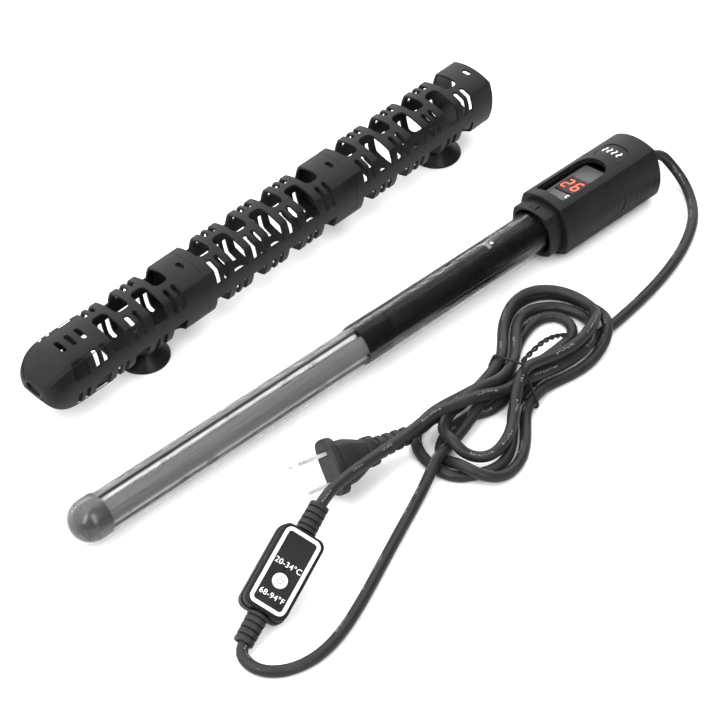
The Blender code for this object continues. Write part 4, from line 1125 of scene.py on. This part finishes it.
def head_housing():
    steps = 24

    def head(inset):
        return bowed_square(HEAD_HALF, HEAD_BOW, inset, steps)
    collar = bowed_square(COLLAR_HALF, COLLAR_BOW, 0.0, steps)
    bore = circle(TUBE_RADIUS + 0.5 * MM, 4 * steps)
    seal_seat = circle(12.6 * MM, 4 * steps)
    shoulder = circle(10.6 * MM, 4 * steps)
    front = HEAD_FRONT
    cap_seat = HEAD_REAR - 4.5 * MM
    sides = [front + 0.5 * MM + 0.8 * MM * i for i in range(int((HEAD_REAR - front) / (0.8 * MM)))]
    stations = [(front - COLLAR_LENGTH, collar), (front - 0.5 * MM, collar),
                (front, bowed_square(COLLAR_HALF, COLLAR_BOW, 0.3 * MM, steps)), (front, head(0.4 * MM))]
    stations += [(x, head_profile(x)) for x in sides if x < HEAD_REAR - 1.6 * MM]
    stations += [(HEAD_REAR - 1.0 * MM, head(0.0)), (HEAD_REAR - 0.2 * MM, head(0.12 * MM)),
                 (HEAD_REAR, head(0.4 * MM)), (HEAD_REAR, head(HEAD_WALL)), (cap_seat, head(HEAD_WALL)),
                 (cap_seat, head(HEAD_CAVITY)), (front + 4.6 * MM, head(HEAD_CAVITY)),
                 (front + 4.6 * MM, shoulder), (front + 3.0 * MM, shoulder),
                 (front + 3.0 * MM, seal_seat), (front + 0.4 * MM, seal_seat),
                 (front + 0.4 * MM, bore), (front - COLLAR_LENGTH, bore)]
    housing = loft("head_housing_fine", stations, HEATER, loop=True)
    opening = merged("opening", [prism(pane_outline(), 5 * MM, FAR)], HEATER)
    outline = [(PANEL_X + x, y) for x, y in rounded_rectangle(13 * MM, 15 * MM, 5 * MM)]
    recess = merged("recess", [prism(outline, HEAD_TOP - 1.1 * MM, FAR)], HEATER)
    carve(housing, opening, recess)
    soften(housing, 0.15 * MM, 2, 30)
    show(housing, "heater", "head_plastic", ("head_housing",))


def pane_outline():
    """Window: square with small corners at the tube end, well rounded at the other."""
    low, high = extent("display_window", (1, 0, 0))
    left, right = extent_in("display_window", HEATER, 1)
    half = (right - left) / 2 + GAP
    front = low - GAP
    rear = high + GAP
    points = []
    for x, sy, radius, start in ((rear, 1, 7.0 * MM, 0), (front, 1, 0.9 * MM, 90),
                                 (front, -1, 0.9 * MM, 180), (rear, -1, 7.0 * MM, 270)):
        sx = 1 if x == rear else -1
        for step in range(9):
            angle = math.radians(start + 90 * step / 8)
            points.append((x - sx * radius + radius * math.cos(angle),
                           sy * (half - radius) + radius * math.sin(angle)))
    return points


def grip_outlines():
    """Raised elliptical line round the thumb grip on each side of the head."""
    depth = HEAD_CURVE - HEAD_TOP
    shapes = []
    for side in (-1, 1):
        line = []
        for i in range(72):
            angle = math.radians(20 + 320 * i / 71)
            x = GRIP_X + 18.5 * MM * math.cos(angle)
            z = 9.6 * MM * math.sin(angle)
            y = math.sqrt(HEAD_CURVE ** 2 - z * z) - depth
            line.append((x, side * (y - 0.05 * MM), z))
        shapes.append(tube(resample(line, 0.7 * MM), 0.16 * MM, 8))
    grips = soften(merged("grip_outlines", shapes, HEATER), 0.0, angle=60)
    show(grips, "heater", "head_plastic")


def collar_latch():
    """Small wedge on the collar that the guard's latch window snaps over."""
    top = COLLAR_HALF + COLLAR_BOW
    profile = [(-2.4 * MM, -0.5 * MM), (-2.2 * MM, 0.2 * MM), (0.8 * MM, 0.75 * MM), (1.4 * MM, -0.5 * MM)]
    verts, faces = prism(profile, -2.0 * MM, 2.0 * MM)
    place = HEAD_FRONT - COLLAR_LENGTH / 2
    verts = [(place + x, y, top + z) for x, z, y in verts]
    latch = soften(merged("collar_latch", [(verts, faces)], HEATER), 0.2 * MM)
    show(latch, "heater", "head_plastic")


SEGMENTS = {"2": "abged", "6": "afgcde"}


def segment_bar(letter, width, height, stroke):
    """One bar of a seven-segment digit, in the digit's own plane."""
    gap = 0.12 * MM
    half_w, half_h = width / 2, height / 2
    long_bar = half_h - stroke / 2 - gap
    places = {"a": (0, half_h, 0), "g": (0, 0, 0), "d": (0, -half_h, 0),
              "f": (-half_w, half_h / 2, 1), "b": (half_w, half_h / 2, 1),
              "e": (-half_w, -half_h / 2, 1), "c": (half_w, -half_h / 2, 1)}
    x, y, upright = places[letter]
    reach = (long_bar if upright else width - stroke / 2 - gap) / 2
    tip = stroke / 2
    outline = [(-reach - tip / 2, 0), (-reach + tip / 2, tip), (reach - tip / 2, tip),
               (reach + tip / 2, 0), (reach - tip / 2, -tip), (-reach + tip / 2, -tip)]
    if upright:
        outline = [(py, px) for px, py in outline]
    lean = 0.12
    return [(x + px + lean * (y + py), y + py) for px, py in outline]


def display():
    """Lit digits, and one fixed frame mark beside them at the height of the plates."""
    low, high = extent("display_module", (1, 0, 0))
    centre_x = (low + high) / 2
    top = extent_in("display_module", HEATER, 2)[1]
    shapes = []
    for character, place in (("2", -3.0 * MM), ("6", 3.0 * MM)):
        for letter in SEGMENTS[character]:
            outline = segment_bar(letter, 2.9 * MM, 6.2 * MM, 0.6 * MM)
            outline = [(centre_x + y, -(place + x)) for x, y in outline]
            shapes.append(prism(outline, top, top + 0.06 * MM))
    show(merged("display_digits", shapes, HEATER), "heater", "digit_glow")
    plate = extent_in("display_mask", HEATER, 2)[1]
    ring = frame_shape(2.3 * MM, 2.3 * MM, 0.45 * MM, 0.5 * MM, 0.05 * MM)
    place = Matrix.Translation((low - 1.9 * MM, -4.4 * MM, plate))
    show(merged("unit_mark", [moved(ring, place)], HEATER), "heater", "white_ink")


def frame_shape(length, width, line, radius, height):
    """Flat rounded frame: the line between an outline and the same outline moved inwards."""
    outer = rounded_rectangle(length, width, radius)
    inner = rounded_rectangle(length - 2 * line, width - 2 * line, max(radius - line, 0.1 * MM))
    rings = [(outer, 0.0), (outer, height), (inner, height), (inner, 0.0)]
    verts = [(x, y, z) for ring, z in rings for x, y in ring]
    return verts, skin_faces(len(rings), len(outer), loop=True)


def rating_panel():
    """Panel that fills the recess and follows the head's bowed top, a little below it."""
    skin = bowed_square(HEAD_HALF, HEAD_BOW, PANEL_INSET, 24)
    panel = loft("rating_panel_fine", [(PANEL_X - 9 * MM, skin), (PANEL_X + 9 * MM, skin)], HEATER)
    outline = [(PANEL_X + x, y) for x, y in rounded_rectangle(12.7 * MM, 14.7 * MM, 4.9 * MM)]
    block = merged("panel_outline", [prism(outline, HEAD_TOP - 1.9 * MM, FAR)], HEATER)
    carve(panel, block, operation='INTERSECT')
    show(soften(panel, 0.15 * MM, 2, 30), "heater", "head_plastic", ("rating_panel",))


def heat_sign():
    """Four rising waves on the rating panel, in place of any lettering."""
    top = HEAD_TOP - PANEL_INSET - 0.01 * MM
    shapes = []
    for column in (-4.4, -1.5, 1.5, 4.4):
        left = []
        right = []
        for i in range(25):
            along = (-1.9 + 3.8 * i / 24) * MM
            wave = (column + 0.45 * math.sin(i / 24 * 2 * math.pi)) * MM
            left.append((PANEL_X + 1 * MM + along, wave - 0.45 * MM))
            right.append((PANEL_X + 1 * MM + along, wave + 0.45 * MM))
        verts, faces = prism(left + right[::-1], top, top + 0.05 * MM)
        verts = [(x, y, z + math.sqrt(HEAD_CURVE ** 2 - y * y) - HEAD_CURVE) for x, y, z in verts]
        shapes.append((verts, faces))
    show(merged("heat_sign", shapes, HEATER), "heater", "white_ink")


def build_head():
    head_housing()
    grip_outlines()
    collar_latch()
    display()
    rating_panel()
    heat_sign()


# ---------------------------------------------------------------- controller

def text_shape(words, size, x, height):
    """Raised figures that read along -Y, as (vertices, faces)."""
    curve = bpy.data.curves.new("figures", 'FONT')
    curve.body = words
    curve.size = size
    curve.align_x = 'CENTER'
    curve.align_y = 'CENTER'
    curve.extrude = 0.03 * MM
    curve.offset = 0.012 * MM
    curve.space_character = 1.06
    obj = bpy.data.objects.new("figures", curve)
    bpy.context.scene.collection.objects.link(obj)
    bpy.context.view_layer.update()
    mesh = bpy.data.meshes.new_from_object(obj.evaluated_get(bpy.context.evaluated_depsgraph_get()))
    bpy.data.objects.remove(obj, do_unlink=True)
    turn = Matrix.Translation((x, 0, height)) @ Matrix.Rotation(-math.pi / 2, 4, 'Z')
    shape = ([turn @ v.co for v in mesh.vertices], [tuple(p.vertices) for p in mesh.polygons])
    bpy.data.meshes.remove(mesh)
    return shape


def controller_shell(name, length, width, radius, low, high, edge, opening=()):
    """Hollow half shell, rounded at its closed end, which can start with an opening's rings."""
    closed_up = edge == high
    direction = 1 if closed_up else -1
    stations = []
    rounding = 1.1 * MM
    for i in range(5):
        angle = math.radians(90 * i / 4)
        inset = rounding * (1 - math.sin(angle))
        stations.append((edge - direction * rounding * (1 - math.cos(angle)), inset))
    stations.append((low if closed_up else high, 0.0))
    rings = list(opening)
    for z, inset in stations:
        outline = rounded_rectangle(length - 2 * inset, width - 2 * inset, radius - 0.7 * inset)
        rings.append((z, outline))
    wall = 1.5 * MM
    inner = rounded_rectangle(length - 2 * wall, width - 2 * wall, radius - wall)
    rings.append((stations[-1][0], inner))
    rings.append((edge - direction * SHELL_CEILING, inner))
    shell = loft(name, rings, Matrix.Identity(4), loop=bool(opening))
    for v in shell.data.vertices:
        v.co = Vector((v.co.y, v.co.z, v.co.x))
    shell.matrix_world = CONTROLLER
    return shell


def build_controller():
    length, width = CONTROLLER_SIZE
    middle_height = -SHELL_HEIGHT
    pocket = rounded_rectangle(LABEL_SIZE[0] + GAP, LABEL_SIZE[1] + GAP, LABEL_CORNER)
    hole = [(BUTTON_X + x, y) for x, y in circle(BUTTON_HOLE, len(pocket), math.radians(5))]
    opening = [(-SHELL_CEILING, hole), (-LABEL_DEPTH, hole), (-LABEL_DEPTH, pocket), (0.0, pocket)]
    upper = controller_shell("controller_upper_fine", length, width, 3.6 * MM,
                             middle_height + GAP / 2, 0.0, 0.0, opening)
    lower = controller_shell("controller_lower_fine", length + 1 * MM, width + 1 * MM, 4.1 * MM,
                             2 * middle_height, middle_height - GAP / 2, 2 * middle_height)
    turn = Matrix.Rotation(math.pi / 2, 4, 'Y')
    ports = []
    for end in (-1, 1):
        place = Matrix.Translation((end * length / 2, 0, middle_height)) @ turn
        ports.append(moved(prism(circle(3.7 * MM, 32), -4 * MM, 4 * MM), place))
    carve(upper, merged("ports", ports, CONTROLLER))
    carve(lower, merged("ports", ports, CONTROLLER))
    show(soften(upper, 0.2 * MM, 2, 40), "heater", "head_plastic", ("controller_upper_shell",))
    show(soften(lower, 0.2 * MM, 2, 40), "heater", "head_plastic", ("controller_lower_shell",))
    side_ribs()
    label_marks()
    boots()


def side_ribs():
    """Fine upright ribs along both long sides of the upper shell."""
    shapes = []
    count = 36
    for side in (-1, 1):
        for i in range(count):
            x = (i / (count - 1) - 0.5) * (CONTROLLER_SIZE[0] - 9 * MM)
            y = side * (CONTROLLER_SIZE[1] / 2 - 0.05 * MM)
            line = [(x, y, -1.3 * MM), (x, y, -3.0 * MM), (x, y, -4.8 * MM)]
            shapes.append(tube(line, 0.2 * MM, 8))
    ribs = soften(merged("controller_side_ribs", shapes, CONTROLLER), 0.0, angle=60)
    show(ribs, "heater", "head_plastic")


def label_marks():
    top = 0.1 * MM
    border = frame_shape(LABEL_SIZE[0], LABEL_SIZE[1], 1.6 * MM, LABEL_CORNER, 0.06 * MM)
    shapes = [moved(border, Matrix.Translation((0, 0, top)))]
    row = 7.1 * MM
    shapes.append(text_shape("20-34°C", 3.4 * MM, BUTTON_X + row, top + 0.03 * MM))
    shapes.append(text_shape("68-94°F", 3.4 * MM, BUTTON_X - row, top + 0.03 * MM))
    show(merged("label_figures", shapes, CONTROLLER), "heater", "white_ink")
    place = Matrix.Translation((BUTTON_X, 0, 0.56 * MM))
    arc = []
    for i in range(25):
        angle = math.radians(40 + 280 * i / 24)
        arc.append((1.25 * MM * math.cos(angle), 1.25 * MM * math.sin(angle), 0.1 * MM))
    bar = [(0.4 * MM, 0, 0.1 * MM), (1.1 * MM, 0, 0.1 * MM), (1.8 * MM, 0, 0.1 * MM)]
    sign = [moved(tube(line, 0.14 * MM, 8), place) for line in (arc, bar)]
    show(merged("button_sign", sign, CONTROLLER), "button", "dark_ink")


def boot_ring(radius):
    """Rounded square, as the boots are flattened towards the shells' faces."""
    return squared_circle(2 * radius, 2 * radius, 0.78, 48, 0.0)


def boot(name):
    """Strain relief: four flat-topped ribs with narrow slits between them."""
    start, end = sorted(extent_in(name, CONTROLLER), key=abs)
    pitch = (end - start - math.copysign(BOOT_COLLAR, end)) / BOOT_RIBS
    bore = circle(CORD_RADIUS + GAP, 48, 0.0)
    stations = [(start, boot_ring(BOOT_ROOT))]
    for i in range(BOOT_RIBS):
        radius = BOOT_ROOT + (BOOT_TIP - BOOT_ROOT) * (i + 0.5) / BOOT_RIBS
        x = start + math.copysign(BOOT_COLLAR, end) + pitch * i
        bottom = boot_ring(radius - BOOT_SLIT_DEPTH)
        stations += [(x, boot_ring(radius)), (x + 0.03 * pitch, bottom),
                     (x + 0.27 * pitch, bottom), (x + 0.30 * pitch, boot_ring(radius))]
    stations += [(end, boot_ring(BOOT_TIP)), (end, bore), (start, bore)]
    place = CONTROLLER @ Matrix.Translation((0, 0, -SHELL_HEIGHT))
    ribbed = loft(name + "_fine", stations, place, loop=True)
    show(soften(ribbed, 0.18 * MM, 2, 40), "heater", "cord_vinyl", (name,))


def boots():
    boot("boot_heater_side")
    boot("boot_plug_side")
    top = CONTROLLER @ Vector((BUTTON_X, 0, 0))
    respun(["set_button"], top, CONTROLLER.col[2].xyz, "button", "button_white", rounding=0.3 * MM)


# ---------------------------------------------------------------- plug

# Plug, in millimetres: distance from the face, width, height
PLUG_SIZES = ((0.0, 24.0, 15.0), (0.8, 25.2, 16.2), (3.2, 25.2, 16.2), (4.0, 24.0, 15.0),
              (4.4, 20.5, 13.5), (9.0, 19.5, 14.0), (13.0, 16.5, 13.0), (17.0, 13.0, 11.0),
              (18.6, 12.2, 10.6), (19.0, 13.6, 12.0), (22.0, 13.2, 11.6), (22.6, 10.6, 10.0))
PLUG_GRIP_ROWS = slice(4, 9)
PLUG_SQUARENESS = 0.62
RELIEF_START = 22.8
RELIEF_RIBS = 4


def plug_ring(width, height):
    return squared_circle(width, height, PLUG_SQUARENESS, 80, -math.pi / 4)


def plug_size(x):
    """Width and height of the grip at a distance from the plug's face."""
    rows = np.array(PLUG_SIZES[PLUG_GRIP_ROWS])
    return (np.interp(x / MM, rows[:, 0], rows[:, 1]) * MM,
            np.interp(x / MM, rows[:, 0], rows[:, 2]) * MM)


def plug_stations():
    stations = []
    for x, w, h in PLUG_SIZES:
        stations.append((x * MM, plug_ring(w * MM, h * MM)))
    rib = (PLUG_LENGTH / MM - RELIEF_START) / RELIEF_RIBS
    slit = 0.38 * rib
    for i in range(RELIEF_RIBS):
        radius = 5.0 - 0.3 * i
        left = RELIEF_START + rib * i
        for x, r in ((left + 0.3, radius - 0.9), (left + slit, radius - 0.9),
                     (left + slit + 0.3, radius), (left + rib, radius)):
            stations.append((x * MM, circle(r * MM, 80)))
    bore = circle(CORD_RADIUS + GAP, 80)
    return stations + [(PLUG_LENGTH, bore), (PLUG_LENGTH - 10 * MM, bore)]


def grip_ribs():
    """Patch of fine ribs across both broad faces of the waisted grip."""
    shapes = []
    for level in (-1, 1):
        for i in range(11):
            x = (6.8 + 0.95 * i) * MM
            width, height = plug_size(x)
            line = []
            for step in range(-8, 9):
                y = step / 8 * 0.34 * width
                c = (2 * abs(y) / width) ** (1 / PLUG_SQUARENESS)
                z = height / 2 * math.sqrt(1 - c * c) ** PLUG_SQUARENESS
                line.append((x, y, level * (z - 0.02 * MM)))
            shapes.append(tube(line, 0.26 * MM, 8))
    ribs = soften(merged("plug_grip_ribs", shapes, PLUG), 0.0, angle=60)
    show(ribs, "heater", "cord_vinyl")


def build_plug():
    body = loft("plug_body_fine", plug_stations(), PLUG)
    slots = []
    for side in (-1, 1):
        outline = rounded_rectangle(12 * MM, 2.1 * MM, 0.3 * MM, 3)
        place = Matrix.Translation((0, side * BLADE_SPACING / 2, 0))
        slots.append(moved(prism(outline, -BLADE_SLOT_HALF, BLADE_SLOT_HALF), place))
    carve(body, merged("slots", slots, PLUG))
    show(soften(body, 0.3 * MM, 3, 30), "heater", "cord_vinyl", ("plug_body",))
    grip_ribs()
    for name in ("plug_blade_left", "plug_blade_right"):
        keep_node(name, 0.25 * MM, "blade_nickel")


# ---------------------------------------------------------------- cords and tie

def cord_print(name, line, turn_degrees, seed):
    """Small pale strokes in rows along a cord, standing for its printing without any words."""
    chooser = random.Random(seed)
    tangents, _, _ = moving_frames(line)
    travel = np.concatenate([[0.0], np.cumsum(np.linalg.norm(np.diff(line, axis=0), axis=1))])
    shapes = []
    place = 20 * MM
    while place < travel[-1] - 30 * MM:
        for _ in range(chooser.randint(4, 13)):
            length = chooser.choice((0.25, 0.4, 0.7)) * MM
            half = chooser.choice((5, 9, 11))
            turn = turn_degrees + chooser.choice((-5, 0, 5))
            shapes.append(dash(line, tangents, travel, (place, length), (turn - half, turn + half)))
            place += length + chooser.uniform(0.35, 0.8) * MM
        place += chooser.uniform(2, 22) * MM
    show(merged(name, shapes), "heater", "grey_ink")


def dash(line, tangents, travel, stretch, turns):
    """Small curved patch just above the cord's surface."""
    start, length = stretch
    verts = []
    for along in (start, start + length):
        centre = Vector([np.interp(along, travel, line[:, k]) for k in range(3)])
        tangent = Vector([np.interp(along, travel, tangents[:, k]) for k in range(3)]).normalized()
        up = (UP - tangent * UP.dot(tangent)).normalized()
        side = tangent.cross(up)
        for step in range(4):
            angle = math.radians(turns[0] + (turns[1] - turns[0]) * step / 3)
            out = up * math.cos(angle) + side * math.sin(angle)
            for lift in (-0.1 * MM, 0.02 * MM):
                verts.append(centre + out * (CORD_RADIUS + lift))
    faces = [(0, 1, 9, 8), (6, 14, 15, 7)]
    for step in range(3):
        a = 2 * step
        faces += [(a + 1, a + 3, a + 11, a + 9), (a, a + 8, a + 10, a + 2),
                  (a, a + 2, a + 3, a + 1), (a + 8, a + 9, a + 11, a + 10)]
    return verts, faces


def build_cords():
    for name, turn, seed in (("cord_heater", -32, 3), ("cord_plug", 24, 8)):
        line = resample(centreline(name), 1.8 * MM)
        cord = soften(merged(name + "_round", [tube(line, CORD_RADIUS, 24)]), 0.0, angle=60)
        show(cord, "heater", "cord_vinyl", (name,))
        cord_print(name + "_print", line, turn, seed)
    line = resample(centreline("twist_tie"), 0.7 * MM)
    tie = soften(merged("twist_tie_round", [tube(line, TIE_WIRE, 12)]), 0.0, angle=60)
    show(tie, "heater", "tie_black", ("twist_tie",))


# ---------------------------------------------------------------- CAD nodes that stay

def keep_node(name, width, look):
    node = NODES[name]
    node.data.materials.clear()
    node.data.materials.append(LOOKS[look])
    soften(node, width, 2, 30)


def keep_the_rest():
    shown_slots = {s["node"]: s["material_slot"] for s in RECORD["subparts"]}
    for name, node in NODES.items():
        if not node.hide_render and not node.modifiers:
            keep_node(name, 0.12 * MM, shown_slots[name])


# ---------------------------------------------------------------- studio

def floor():
    """White paper; reflections see it greyer than the camera does, as under studio flags."""
    mesh = bpy.data.meshes.new("floor")
    half = 4.0
    mesh.from_pydata([(-half, -half, 0), (half, -half, 0), (half, half, 0), (-half, half, 0)],
                     [], [(0, 1, 2, 3)])
    obj = bpy.data.objects.new("floor", mesh)
    bpy.context.scene.collection.objects.link(obj)
    obj.location.z = -0.0002
    paper = surface("floor_paper", (0.9, 0.9, 0.9), 0.8, 3 * MM, 0.02, spread=0.002, blotch=0.2)
    path = add_node(paper, "ShaderNodeLightPath")
    shader = paper.node_tree.nodes["Principled BSDF"]
    tone = tint(paper, path.outputs["Is Camera Ray"], [FLOOR_BOUNCE] * 3, [0.93] * 3)
    link(paper, tone, shader.inputs["Base Color"])
    obj.data.materials.append(paper)


def area_light(name, place, aim, size, power):
    light = bpy.data.lights.new(name, 'AREA')
    light.shape = 'RECTANGLE'
    light.size, light.size_y = size
    light.energy = power
    obj = bpy.data.objects.new(name, light)
    bpy.context.scene.collection.objects.link(obj)
    obj.location = place
    obj.rotation_euler = (Vector(aim) - Vector(place)).to_track_quat('-Z', 'Y').to_euler()
    return obj


def sky():
    """Tall white backdrop on the far side only, as reflections see it; white to the camera."""
    world = bpy.data.worlds.new("studio")
    world.use_nodes = True
    tree = world.node_tree
    direction = tree.nodes.new("ShaderNodeTexCoord")
    facing = tree.nodes.new("ShaderNodeVectorMath")
    facing.operation = 'DOT_PRODUCT'
    facing.inputs[1].default_value = (0.0, 1.0, 0.0)
    tree.links.new(direction.outputs["Generated"], facing.inputs[0])
    backdrop = tree.nodes.new("ShaderNodeMapRange")
    backdrop.interpolation_type = 'SMOOTHSTEP'
    backdrop.inputs["From Min"].default_value = -0.05
    backdrop.inputs["From Max"].default_value = 0.10
    backdrop.inputs["To Min"].default_value = SKY_NEAR
    backdrop.inputs["To Max"].default_value = SKY_FAR
    tree.links.new(facing.outputs["Value"], backdrop.inputs["Value"])
    path = tree.nodes.new("ShaderNodeLightPath")
    strength = tree.nodes.new("ShaderNodeMix")
    strength.inputs["B"].default_value = 1.0
    tree.links.new(path.outputs["Is Camera Ray"], strength.inputs["Factor"])
    tree.links.new(backdrop.outputs["Result"], strength.inputs["A"])
    tree.links.new(strength.outputs["Result"], tree.nodes["Background"].inputs["Strength"])
    tree.nodes["Background"].inputs["Color"].default_value = (1.0, 1.0, 1.0, 1.0)
    bpy.context.scene.world = world


def studio():
    floor()
    sky()
    centre = (CAD_BOX[0] + CAD_BOX[1]) / 2
    fill = area_light("soft_fill", centre + Vector((-0.1, -0.2, 1.3)), centre, (2.2, 2.2), 34)
    fill.visible_glossy = False
    right = Vector((math.cos(CAMERA_AZIMUTH), math.sin(CAMERA_AZIMUTH), 0))
    towards = Vector((math.sin(CAMERA_AZIMUTH), -math.cos(CAMERA_AZIMUTH), 0))
    for side in (-1, 1):
        place = centre + towards * 0.75 + right * side * 0.45 + UP * 0.8
        area_light("strip_%d" % side, place, centre, (0.13, 1.0), 5)
    bpy.context.scene.view_settings.view_transform = 'Standard'


def camera():
    data = bpy.data.cameras.new("camera")
    data.lens = CAMERA_LENS
    data.sensor_width = 36.0
    data.clip_start = 0.05
    data.clip_end = 50.0
    obj = bpy.data.objects.new("camera", data)
    bpy.context.scene.collection.objects.link(obj)
    flat = math.cos(CAMERA_ELEVATION)
    back = Vector((math.sin(CAMERA_AZIMUTH) * flat, -math.cos(CAMERA_AZIMUTH) * flat,
                   math.sin(CAMERA_ELEVATION)))
    obj.location = CAMERA_TARGET + back * CAMERA_DISTANCE
    obj.rotation_euler = (-back).to_track_quat('-Z', 'Y').to_euler()
    bpy.context.scene.camera = obj


build_guard()
build_tube()
level_mark()
build_head()
build_controller()
build_plug()
build_cords()
keep_the_rest()
studio()
camera()
